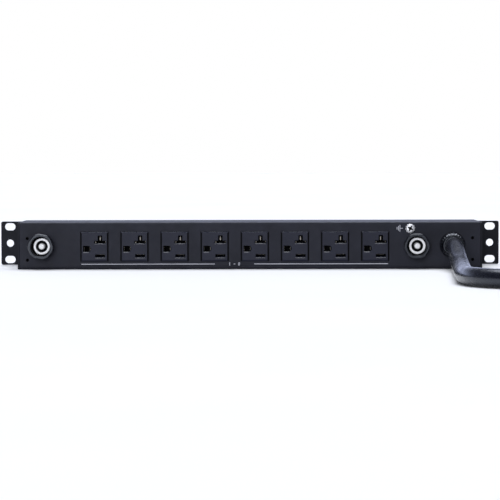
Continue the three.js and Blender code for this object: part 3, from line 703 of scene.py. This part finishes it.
def make_outlets():
    mesh = shared_mesh("outlet_shell", outlet_part(), OUTLET_PLASTIC, 20)
    shade_outlet(mesh)
    contacts = shared_mesh("contacts", contact_part(), CONTACT_METAL, 30)
    for bank, panel in BANKS.items():
        for i in range(1, OUTLETS + 1):
            node = f"outlet_{bank}_{i}"
            place = middle(node)
            place.y = 0
            shell = bpy.data.objects.new(f"outlet_shell_{bank}_{i}", mesh)
            leaves = bpy.data.objects.new(f"contacts_{bank}_{i}", contacts)
            for obj in (shell, leaves):
                bpy.context.scene.collection.objects.link(obj)
                obj.matrix_world = Matrix.Translation(place) @ panel
            stand_for(shell, "outlet_plastic", node)
            stand_for(leaves, "brass")


make_outlets()


# ---------------------------------------------------------------- pieces on the breaker side

def on_panel(node, turn=0.0):
    """The node's middle on the near panel's outer face, with local -y pointing out, turned clockwise."""
    place = middle(node)
    return Matrix.Translation((place.x, NEAR, place.z)) @ Matrix.Rotation(turn, 4, "Y")


def out_piece(name, corners, node, material, segments, closed=False):
    """A turned piece whose height runs out of the near panel at the node's middle."""
    place = middle(node)
    place.y = NEAR
    return turned_piece(name, corners, place, OUT_OF_NEAR, material, segments, closed)


GUARD_STEPS = 180
GUARD_ROUND = 11.95
GUARD_FLAT = 11.55
GUARD_TOP = 11.0
GUARD_INSIDE = 9.05
FACET_START = 10.1
FACET_SLOPE = 0.65
CONE_DEPTH = 0.55
CONE_SLOPE = 0.8


def guard_radius(angle, height):
    """The guard is round with six flats, and each flat ends in a slanted facet at the front."""
    fall = max(0.0, height - FACET_START)
    cone = GUARD_ROUND - max(0.0, height - (GUARD_TOP - CONE_DEPTH)) * CONE_SLOPE
    from_flat = (angle % (math.pi / 3)) - math.pi / 6
    flat = (GUARD_FLAT - fall * FACET_SLOPE) / math.cos(from_flat)
    return min(cone, flat)


def guard_part(bore_x, bore_z):
    """The guard, with its bore round the bushing's neck a little off its own middle."""
    solid = Stack()
    angles = [2 * math.pi * i / GUARD_STEPS for i in range(GUARD_STEPS)]

    def ring(height, radius=None, shrink=0.0, moved=0):
        outline = []
        for angle in angles:
            x, z = polar(radius if radius else guard_radius(angle, height) - shrink, angle)
            outline.append((x + moved * bore_x, z + moved * bore_z))
        return solid.loop(outline, height)

    rings = [ring(0.3, shrink=0.3), ring(0.6), ring(9.3)]
    rings += [ring(FACET_START + (GUARD_TOP - FACET_START) * k / 6) for k in range(6)]
    rings += [ring(GUARD_TOP - 0.08), ring(GUARD_TOP, shrink=0.12)]
    rings += [ring(GUARD_TOP, 9.7), ring(GUARD_TOP - 0.12, 9.5), ring(GUARD_TOP - 0.7, 9.0)]
    rings += [ring(GUARD_TOP - 1.5, 8.9), ring(1.9, 8.9), ring(1.5, 8.75), ring(1.4, 8.4)]
    rings += [ring(1.4, 6.4, moved=1), ring(1.3, 6.3, moved=1), ring(0.3, 6.3, moved=1)]
    solid.skin(rings[::-1], closed=True)
    return solid.part()


def make_guard(side, turn):
    shift = (middle(f"breaker_bushing_{side}").x - middle(f"breaker_guard_{side}").x) / MM
    part = guard_part(*polar(shift, turn))
    guard = mesh_piece(f"guard_{side}", *part, BLACK_NYLON, 22)
    # Painted shade on the wall and floor of the guard's recess
    guard.data.materials.append(PAINTED_SHADE)
    for face in guard.data.polygons:
        if math.hypot(face.center.x, face.center.z) < GUARD_INSIDE * MM:
            face.material_index = 1
    guard.matrix_world = on_panel(f"breaker_guard_{side}", turn)
    stand_for(guard, "black_plastic", f"breaker_guard_{side}")


def make_bushing(side):
    """A bright ring inside the guard, and a sleeve in it in painted shade."""
    node = f"breaker_bushing_{side}"
    ring = [
        (5.5, -1.5), (6.0, -1.5), (6.0, 1.7), (7.7, 1.7, 0.15), (7.7, 3.5, 0.4), (5.75, 3.5, 0.12),
        (5.5, 3.2),
    ]
    bushing = out_piece(f"bushing_{side}", ring, node, SATIN_NICKEL, 72, closed=True)
    stand_for(bushing, "nickel", node)
    sleeve = [(3.2, -1.4), (5.4, -1.4), (5.4, 0.8, 0.2), (4.7, 0.8, 0.2), (4.5, 0.2), (3.2, 0.2, 0.1)]
    neck = out_piece(f"breaker_neck_{side}", sleeve, node, PAINTED_SHADE, 64, closed=True)
    stand_for(neck, "black_plastic")


def make_button(side):
    node = f"reset_button_{side}"
    corners = [(0, -9.5), (2.85, -9.5), (2.85, 4.6, 0.2), (2.6, 5.1), (2.6, 6.15, 0.55), (1.2, 6.2), (0, 6.2)]
    button = out_piece(f"button_{side}_cap", corners, node, WHITE_NYLON, 48)
    stand_for(button, "white_plastic", node, body=f"button_{side}")


for side, guard_turn in (("left", math.radians(9.4)), ("right", 0.0)):
    make_guard(side, guard_turn)
    make_bushing(side)
    make_button(side)


def cross_recess(reach, width, depth, radius):
    """A cross-shaped pocket for a screw's head, as loops from its mouth to its floor."""
    half = width / 2

    def loop(length, side, inner):
        made = []
        for quarter in range(4):
            turn = Matrix.Rotation(math.pi / 2 * quarter, 2)
            for point in ((length, -side), (length, side), (inner, inner)):
                made.append(tuple(turn @ Vector(point)))
        return made

    return [
        (loop(reach, half, half + radius), 0.0),
        (loop(reach * 0.82, half * 0.8, half * 0.8 + radius * 0.7), -depth * 0.6),
        (loop(reach * 0.45, half * 0.6, half * 0.6 + radius * 0.3), -depth),
    ]


SCREW_STEPS = 48


def screw_part(outline, reach, width, depth):
    """A screw with a cross recess. The outline's (radius, height) points run from its front to its tail."""
    solid = Stack()
    angles = [2 * math.pi * i / SCREW_STEPS for i in range(SCREW_STEPS)]
    rings = [solid.loop([polar(radius, a) for a in angles], height) for radius, height in outline]
    solid.skin(rings)
    solid.fill(rings[-1], facing_out=False)
    recess = solid.pocket([
        (loop, outline[0][1] + height) for loop, height in cross_recess(reach, width, depth, 0.25)
    ])
    solid.fill(rings[0], [recess])
    return solid.part()


def shade_recess(screw, reach, top):
    """Painted shade in the recess, from just under the head's top to its floor."""
    screw.data.materials.append(PAINTED_SHADE)
    for face in screw.data.polygons:
        inside = math.hypot(face.center.x, face.center.z) < reach * MM
        if inside and -(top - 0.15) * MM < face.center.y < -(top - 2.6) * MM:
            face.material_index = 1


PAN_STEPS = 5


def pan_outline(head, base, rim, top, shank, shank_end, flat):
    """A pan head and its shank, the shank going back into the panel."""
    outline = [(flat, top)]
    for k in range(1, PAN_STEPS + 1):
        angle = math.pi / 2 * k / PAN_STEPS
        outline.append((flat + (head - flat) * math.sin(angle), top - (top - rim) * (1 - math.cos(angle))))
    outline += [(head, base + 0.1), (head - 0.12, base), (shank, base), (shank, shank_end + 0.4)]
    outline.append((shank - 0.4, shank_end))
    return outline


TOOTH_STEPS = 6
TOOTH_WIDTH = 4
TOOTH_NOTCH = 0.75
TOOTH_BEVEL = 0.06


def tooth_washer_part(inner, outer, teeth, low, high):
    """A lock washer with teeth round its outer edge."""
    solid = Stack()
    steps = teeth * TOOTH_STEPS

    def ring(height, radius, notch=0.0):
        outline = []
        for i in range(steps):
            r = radius if i % TOOTH_STEPS < TOOTH_WIDTH else radius - notch
            outline.append(polar(r, 2 * math.pi * i / steps))
        return solid.loop(outline, height)

    rings = [
        ring(low, inner), ring(low, outer, TOOTH_NOTCH),
        ring(high, outer - TOOTH_BEVEL, TOOTH_NOTCH), ring(high, inner),
    ]
    solid.skin(rings[::-1], closed=True)
    return solid.part()


def make_ground_screw():
    reach, top = 2.6, 3.6
    outline = pan_outline(head=4.1, base=1.3, rim=2.0, top=top, shank=2.0, shank_end=-8.0, flat=3.0)
    part = screw_part(outline, reach, width=1.25, depth=2.0)
    screw = mesh_piece("ground_screw_head", *part, DULL_NICKEL, 28)
    shade_recess(screw, reach, top)
    screw.matrix_world = on_panel("ground_screw", math.radians(28))
    stand_for(screw, "nickel", "ground_screw")
    part = tooth_washer_part(inner=2.3, outer=4.5, teeth=12, low=0.3, high=0.95)
    washer = mesh_piece("tooth_washer", *part, DULL_NICKEL, 28)
    washer.matrix_world = on_panel("ground_washer")
    stand_for(washer, "nickel", "ground_washer")


make_ground_screw()

RIB_DEPTH = 0.7
RIB_STEPS = 8
RELIEF_RIBS = 26
RELIEF_BORE = 8.0


def ribbed_part(outline, ribs, closed=True):
    """A turned solid with ribs. The outline holds (radius, height[, share of the grooves' full depth])."""
    solid = Stack()
    steps = ribs * RIB_STEPS
    rings = []
    for radius, height, *share in outline:
        loop = []
        for i in range(steps):
            wave = max(0.0, math.sin(2 * math.pi * (i % RIB_STEPS + 0.5) / RIB_STEPS)) ** 0.6
            groove = RIB_DEPTH * (share[0] if share else 0) * (1 - wave)
            loop.append(polar(radius - groove, 2 * math.pi * i / steps))
        rings.append(solid.loop(loop, height))
    rings.reverse()
    solid.skin(rings, closed)
    if not closed:
        solid.lids(rings)
    return solid.part()


def make_strain_relief():
    """The relief's domed nut: a collar, ribs that run up the dome, and a thin rim round the cord."""
    outline = [
        (11.7, 0.3), (12.0, 0.6), (12.0, 2.2), (12.0, 2.9, 0.2), (11.9, 4.0, 1.0), (11.7, 5.2, 1.0),
        (11.3, 6.1, 1.0), (10.7, 6.9, 1.0), (9.9, 7.7, 0.8), (9.5, 8.3), (9.2, 9.0), (9.2, 11.4),
        (9.05, 11.8), (8.8, 12.0), (8.35, 12.0), (8.1, 11.8), (RELIEF_BORE, 11.4), (RELIEF_BORE, -12.0),
        (9.7, -12.0), (9.7, 0.3),
    ]
    relief = mesh_piece("relief_nut", *ribbed_part(outline, RELIEF_RIBS), RELIEF_NYLON, 26)
    relief.matrix_world = on_panel("strain_relief")
    stand_for(relief, "black_plastic", "strain_relief")


make_strain_relief()


def make_ear_screws():
    top = 2.4
    outline = pan_outline(head=3.8, base=0.3, rim=1.2, top=top, shank=1.9, shank_end=-7.0, flat=2.3)
    part = screw_part(outline, reach=1.9, width=0.8, depth=1.3)
    for side, way in (("left", -1), ("right", 1)):
        for i in (1, 2):
            node = f"ear_screw_{side}_{i}"
            place = middle(node)
            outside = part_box(node)[1].x if way > 0 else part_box(node)[0].x
            screw = mesh_piece(f"ear_screw_head_{side}_{i}", *part, ZINC, 28)
            screw.matrix_world = (
                Matrix.Translation((outside - way * top * MM, place.y, place.z))
                @ Matrix.Rotation(way * math.pi / 2, 4, "Z")
                @ Matrix.Rotation(0.5 + 0.7 * i, 4, "Y")
            )
            stand_for(screw, "nickel", node)


def make_cover_screws():
    """Countersunk screws that look down, flush with the cover."""
    for i in range(1, 5):
        node = f"cover_screw_{i}"
        place = middle(node)
        tail = -(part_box(node)[1].z / MM)
        outline = [(2.65, -0.1), (2.8, -0.25), (1.4, -1.65), (1.4, tail + 0.4), (1.0, tail)]
        part = screw_part(outline, reach=1.6, width=0.7, depth=1.1)
        screw = mesh_piece(f"cover_screw_head_{i}", *part, ZINC, 28)
        screw.matrix_world = (
            Matrix.Translation((place.x, place.y, 0))
            @ Matrix.Rotation(math.pi / 2, 4, "X")
            @ Matrix.Rotation(0.6 * i, 4, "Y")
        )
        stand_for(screw, "nickel", node)


INSERTS = [(x, z) for x in (-207.6, 207.6) for z in (8.7, 28.9)]
INSERT_THREADS = 7


def make_thread_inserts():
    """Blind threaded inserts behind the small holes in the near panel, in painted shade that darkens the
    holes.
    """
    bore = [(1.55, -1.6)]
    for k in range(INSERT_THREADS):
        bore += [(1.25, -1.9 - 0.5 * k), (1.5, -2.15 - 0.5 * k)]
    outline = [(0, -6.2), *reversed(bore), (2.6, -1.6), (3.0, -1.9), (3.0, -6.8), (2.6, -7.2), (0, -7.2)]
    for i, (x, z) in enumerate(INSERTS, 1):
        place = (x * MM, NEAR, z * MM)
        insert = turned_piece(f"thread_insert_{i}", outline, place, OUT_OF_NEAR, PAINTED_SHADE, 32)
        stand_for(insert, "painted_steel")


make_ear_screws()
make_cover_screws()
make_thread_inserts()


def soften_plates():
    """The folded sheet's edges, rounded by the paint."""
    for node in ("ear_left", "ear_right", "end_plate_left", "end_plate_right"):
        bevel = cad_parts[node].modifiers.new("edge", "BEVEL")
        bevel.width = 0.35 * MM
        bevel.segments = 2
        bevel.limit_method = "ANGLE"
        bevel.angle_limit = math.radians(40)


soften_plates()


# ---------------------------------------------------------------- plug and tie

PLUG_TURN = Matrix.Rotation(math.pi / 2, 4, "Z")
BLADE_RADIUS = 14.2
BLADE_THICKNESS = 1.8
BLADE_STEPS = 16
FOOT_TRIM = 15
PLUG_RIBS = 40
PLUG_SCREW_RADIUS = 13.4

# The middle and half the width of each blade, in degrees round the plug
BLADES = {"ground": (90, 28), "neutral": (210, 25), "hot": (330, 21)}


def at_plug(node):
    """The node's foot on the plug's axis, with local -y pointing along +X."""
    low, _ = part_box(node)
    axis = middle("plug_cap")
    return Matrix.Translation((low.x, axis.y, axis.z)) @ PLUG_TURN


def blade_part(centre, half, length):
    """A curved locking blade: narrower at its foot on one side, with a chamfered tip."""
    solid = Stack()

    def sector(start, end, shrink=0.0):
        inner = BLADE_RADIUS - BLADE_THICKNESS / 2 + shrink
        outer = BLADE_RADIUS + BLADE_THICKNESS / 2 - shrink
        trim = shrink / BLADE_RADIUS
        angles = [math.radians(start + (end - start) * k / BLADE_STEPS) for k in range(BLADE_STEPS + 1)]
        angles[0] += trim
        angles[-1] -= trim
        return [polar(outer, a) for a in angles] + [polar(inner, a) for a in reversed(angles)]

    low, high = centre - half, centre + half
    foot = low + FOOT_TRIM
    rings = [
        solid.loop(sector(low, high, 0.45), length), solid.loop(sector(low, high), length - 1.0),
        solid.loop(sector(low, high), 10.0), solid.loop(sector(foot, high), 9.9),
        solid.loop(sector(foot, high), 0.0),
    ]
    solid.skin(rings)
    solid.lids(rings)
    return solid.part()


def make_plug_cap():
    """The rear cap: a ribbed grip round the cord that widens into a ribbed flange."""
    outline = [
        (8.3, 0.0), (11.0, 0.0), (11.5, 0.4), (12.4, 3.0), (12.7, 5.0), (12.9, 7.0, 0.6), (13.2, 9.5, 0.6),
        (13.4, 12.0, 0.6), (13.6, 14.0), (14.0, 16.0), (16.5, 18.8), (19.6, 21.6), (22.0, 24.0),
        (23.6, 26.4), (24.6, 28.8), (24.9, 30.0, 0.2), (25.0, 31.0, 1.0), (25.0, 43.0, 1.0),
        (25.0, 44.0, 0.2), (24.9, 45.2), (24.4, 45.7), (8.3, 45.7),
    ]
    cap = mesh_piece("plug_cap_shell", *ribbed_part(outline, PLUG_RIBS), PLUG_NYLON, 26)
    cap.matrix_world = at_plug("plug_cap")
    return stand_for(cap, "black_plastic", "plug_cap")


def make_plug_body():
    """The front body: a ribbed flange, and a nose with a shallow trough in its face."""
    outline = [
        (24.0, 0.3), (24.8, 0.6), (25.0, 1.2, 0.4), (25.0, 2.0, 1.0), (25.0, 20.0, 1.0), (25.0, 21.0, 0.4),
        (24.9, 22.4), (24.4, 23.0), (22.2, 23.0), (22.0, 23.3), (22.0, 30.6), (21.7, 31.6), (21.0, 32.0),
        (18.6, 32.0), (18.3, 31.7), (18.3, 30.9), (18.0, 30.6), (8.6, 30.6), (8.3, 30.9), (8.3, 31.7),
        (8.0, 32.0),
    ]
    body = mesh_piece("plug_body_shell", *ribbed_part(outline, PLUG_RIBS, closed=False), PLUG_NYLON, 26)
    body.matrix_world = at_plug("plug_body")
    return stand_for(body, "black_plastic", "plug_body")


def make_plug_blades():
    made = []
    for word, (centre, half) in BLADES.items():
        node = f"plug_blade_{word}"
        low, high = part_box(node)
        blade = mesh_piece(f"blade_{word}", *blade_part(centre, half, (high.x - low.x) / MM), BRASS, 30)
        blade.matrix_world = at_plug(node)
        made.append(stand_for(blade, "brass", node))
    return made


def make_plug_screws():
    """Three screws with their heads in the face's trough, between the blades."""
    outline = pan_outline(head=2.2, base=-1.4, rim=-0.9, top=-0.2, shank=1.2, shank_end=-6.0, flat=1.3)
    part = screw_part(outline, reach=1.1, width=0.45, depth=0.8)
    axis = middle("plug_cap")
    made = []
    for i in range(1, 4):
        dy, dz = polar(PLUG_SCREW_RADIUS * MM, math.radians(120 * i - 90))
        place = (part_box("plug_body")[1].x, axis.y + dy, axis.z + dz)
        screw = mesh_piece(f"plug_screw_{i}", *part, ZINC, 28)
        screw.matrix_world = Matrix.Translation(place) @ PLUG_TURN
        made.append(stand_for(screw, "nickel"))
    return made


TIE_THICKNESS = 1.2
TIE_ROUND = 7.5
TIE_EDGE = 0.25
LAP_THICKNESS = 1.1
LAP_ENDS = (-14.0, 9.0)
SEAM_WIDTH = 0.6
SEAMS = (-12.6, 6.6)


def band_part(outer, half):
    """The strap's closed band, with its edges chamfered."""
    inner = offset(outer, -TIE_THICKNESS)
    flat = half - TIE_EDGE
    solid = Stack()
    rings = [
        solid.loop(offset(outer, -TIE_EDGE), half), solid.loop(outer, flat),
        solid.loop(outer, -flat), solid.loop(offset(outer, -TIE_EDGE), -half),
        solid.loop(offset(inner, TIE_EDGE), -half), solid.loop(inner, -flat),
        solid.loop(inner, flat), solid.loop(offset(inner, TIE_EDGE), half),
    ]
    solid.skin(rings, closed=True)
    return solid.part()


def block_part(x0, x1, z0, z1, reach):
    """A block with chamfered ends, reaching equally far to both sides of the strap's middle."""
    block = rounded_rectangle(x1 - x0, z1 - z0, 0.1, 2, ((x0 + x1) / 2, (z0 + z1) / 2))
    solid = Stack()
    rings = [
        solid.loop(offset(block, -0.08), reach), solid.loop(block, reach - 0.1),
        solid.loop(block, 0.1 - reach), solid.loop(offset(block, -0.08), -reach),
    ]
    solid.skin(rings)
    solid.lids(rings)
    return solid.part()


def make_tie():
    """A woven strap round the coil, with its end lapped over the top and two stitched seams."""
    node = "cord_tie"
    low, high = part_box(node)
    width, depth, height = (high - low) / MM
    half, top = width / 2, height / 2
    parts = [band_part(rounded_rectangle(depth, height, TIE_ROUND, 10), half)]
    parts.append(block_part(*LAP_ENDS, top + 0.02, top + LAP_THICKNESS, half - 0.6))
    for x in SEAMS:
        seam_z = top + LAP_THICKNESS
        parts.append(block_part(x, x + SEAM_WIDTH, seam_z, seam_z + 0.25, half - 1.4))
    strap = mesh_piece("strap_tie", *merged(parts), STRAP, 35)
    strap.matrix_world = Matrix.Translation(middle(node)) @ PLUG_TURN
    return stand_for(strap, "black_plastic", node)


PLUG_PIECES = [make_plug_cap(), make_plug_body(), *make_plug_blades(), *make_plug_screws()]
TIE = make_tie()


# ---------------------------------------------------------------- prints

PRINT_BACK = 0.005
PRINT_FRONT = 0.04
LINE_WIDTH = 0.5
LINE_Z = 4.85
LINES = [(-157.0, -33.1), (4.0, 128.4)]
FIGURE_HEIGHT = 2.6
FIGURE_WIDTH = 0.55 * FIGURE_HEIGHT
FIGURE_GAP = 0.28 * FIGURE_HEIGHT
FIGURE_STROKE = 0.45
EARTH_X = 139.8
EARTH_Z = 37.9
EARTH_STROKE = 0.42

# Each stroke is (x1, z1, x2, z2) in shares of a figure's width and height
STROKES = {
    "1": [(0.2, 0.8, 0.5, 1), (0.5, 1, 0.5, 0)],
    "6": [
        (0.9, 1, 0.1, 0.85), (0.1, 0.85, 0, 0.1), (0, 0.1, 0.9, 0), (0.9, 0, 0.95, 0.5),
        (0.95, 0.5, 0.05, 0.5),
    ],
    "8": [(0.1, 0, 0.9, 0), (0.9, 0, 0.9, 1), (0.9, 1, 0.1, 1), (0.1, 1, 0.1, 0), (0.1, 0.52, 0.9, 0.52)],
    "9": [
        (0.1, 0, 0.95, 0.1), (0.95, 0.1, 0.95, 1), (0.95, 1, 0.05, 1), (0.05, 1, 0.05, 0.5),
        (0.05, 0.5, 0.95, 0.5),
    ],
    "-": [(0.1, 0.5, 0.9, 0.5)],
    " ": [],
}


def bar_part(x1, z1, x2, z2, width):
    """A printed stroke with square ends, lying just above the paint."""
    along = Vector((x2 - x1, z2 - z1)).normalized()
    side = Vector((-along.y, along.x)) * (width / 2)
    end = along * (width / 2)
    solid = Stack()
    corners = [
        tuple(Vector((x1, z1)) - end - side), tuple(Vector((x2, z2)) + end - side),
        tuple(Vector((x2, z2)) + end + side), tuple(Vector((x1, z1)) - end + side),
    ]
    rings = [solid.loop(corners, PRINT_FRONT), solid.loop(corners, PRINT_BACK)]
    solid.skin(rings)
    solid.lids(rings)
    return solid.part()


def bank_prints(text, way):
    """The line under a bank in two halves, with its figures between. The way is -1 on the far side."""
    parts = []
    for ends in LINES:
        start, end = sorted(way * x for x in ends)
        parts.append(bar_part(start, LINE_Z, end, LINE_Z, LINE_WIDTH))
    row = len(text) * (FIGURE_WIDTH + FIGURE_GAP) - FIGURE_GAP
    x, z = way * (LINES[0][1] + LINES[1][0]) / 2 - row / 2, LINE_Z - FIGURE_HEIGHT / 2
    for figure in text:
        for x1, z1, x2, z2 in STROKES[figure]:
            parts.append(bar_part(
                x + x1 * FIGURE_WIDTH, z + z1 * FIGURE_HEIGHT,
                x + x2 * FIGURE_WIDTH, z + z2 * FIGURE_HEIGHT, FIGURE_STROKE,
            ))
        x += FIGURE_WIDTH + FIGURE_GAP
    return parts


def earth_symbol():
    """A stem that points at the ground screw and three bars across, each shorter than the one before."""
    parts = [bar_part(EARTH_X, EARTH_Z, EARTH_X + 2.5, EARTH_Z, EARTH_STROKE)]
    for k in range(3):
        x, half = EARTH_X - 1.35 * k, 2.9 - k
        parts.append(bar_part(x, EARTH_Z - half, x, EARTH_Z + half, EARTH_STROKE))
    return parts


def make_prints():
    marks = {"near": bank_prints("1 - 8", 1) + earth_symbol(), "far": bank_prints("9 - 16", -1)}
    for bank, place in BANKS.items():
        prints = mesh_piece(f"prints_{bank}", *merged(marks[bank]), WHITE_INK)
        prints.matrix_world = place
        stand_for(prints, "white_plastic")


make_prints()


# ---------------------------------------------------------------- stage and light

def make_floor():
    material, nodes, links, shader = new_material("floor", (0.86, 0.86, 0.86), 0.7, specular=0.2)
    tone = between(nodes, links, pattern(nodes, links, 3), 0, 1)
    links.new(tinted(nodes, links, tone, (0.85, 0.85, 0.85), (0.87, 0.87, 0.87)), shader.inputs["Base Color"])
    side = 12
    floor = mesh_piece(
        "floor",
        [(-side, -side, 0), (side, -side, 0), (side, side, 0), (-side, side, 0)],
        [(0, 1, 2, 3)],
        material,
    )


ROOM_FRONT = (0.30, 0.31, 0.34, 1)
ROOM_SIDE = (0.06, 0.06, 0.065, 1)
ROOM_BACK = (0.14, 0.15, 0.19, 1)
ROOM_BACKDROP = (1.20, 1.32, 1.80, 1)


def make_world():
    """White to the eye. To the object the room is dim in front, dark at the ends and bright low behind."""
    world = bpy.data.worlds.new("studio")
    bpy.context.scene.world = world
    world.use_nodes = True
    nodes, links = world.node_tree.nodes, world.node_tree.links
    seen = nodes["Background"]
    seen.inputs["Color"].default_value = (1, 1, 1, 1)
    room = nodes.new("ShaderNodeBackground")
    place = nodes.new("ShaderNodeTexCoord")
    split = nodes.new("ShaderNodeSeparateXYZ")
    spread = nodes.new("ShaderNodeMapRange")
    spread.inputs["From Min"].default_value = -1
    ramp = nodes.new("ShaderNodeValToRGB")
    stops = ramp.color_ramp.elements
    stops[0].position, stops[1].position = 0.0, 1.0
    stops[0].color, stops[1].color = ROOM_FRONT, ROOM_BACK
    for position, color in ((0.25, ROOM_SIDE), (0.55, ROOM_SIDE)):
        stops.new(position).color = color
    path = nodes.new("ShaderNodeLightPath")
    mix = nodes.new("ShaderNodeMixShader")
    links.new(place.outputs["Generated"], split.inputs["Vector"])
    links.new(split.outputs["Y"], spread.inputs["Value"])
    links.new(spread.outputs["Result"], ramp.inputs["Fac"])
    behind = between(nodes, links, split.outputs["Y"], 0, 1, 0.45, 0.85)
    low = between(nodes, links, split.outputs["Z"], 1, 0, 0.20, 0.46)
    both = nodes.new("ShaderNodeMath")
    both.operation = "MULTIPLY"
    links.new(behind, both.inputs[0])
    links.new(low, both.inputs[1])
    lit = nodes.new("ShaderNodeMix")
    lit.data_type = "RGBA"
    lit.inputs["B"].default_value = ROOM_BACKDROP
    links.new(both.outputs["Value"], lit.inputs["Factor"])
    links.new(ramp.outputs["Color"], lit.inputs["A"])
    links.new(lit.outputs["Result"], room.inputs["Color"])
    links.new(path.outputs["Is Camera Ray"], mix.inputs["Fac"])
    links.new(room.outputs["Background"], mix.inputs[1])
    links.new(seen.outputs["Background"], mix.inputs[2])
    links.new(mix.outputs["Shader"], nodes["World Output"].inputs["Surface"])


def soft_sun(name, towards, width, strength, color):
    """Even light from a round patch of sky in the given direction, width degrees across."""
    data = bpy.data.lights.new(name, "SUN")
    data.angle = math.radians(width)
    data.energy = strength
    data.color = color
    light = bpy.data.objects.new(name, data)
    bpy.context.scene.collection.objects.link(light)
    light.matrix_world = Vector(towards).to_track_quat("Z", "Y").to_matrix().to_4x4()


def make_lights():
    soft_sun("top_light", (0, 0.28, 1), width=58, strength=3.15, color=(0.94, 0.97, 1.04))
    soft_sun("front_light", (-0.25, -1, 0.30), width=34, strength=1.58, color=(0.96, 0.98, 1.04))


make_floor()
make_world()
make_lights()
bpy.context.scene.view_settings.view_transform = "Standard"

# ---------------------------------------------------------------- update

bpy.context.view_layer.update()
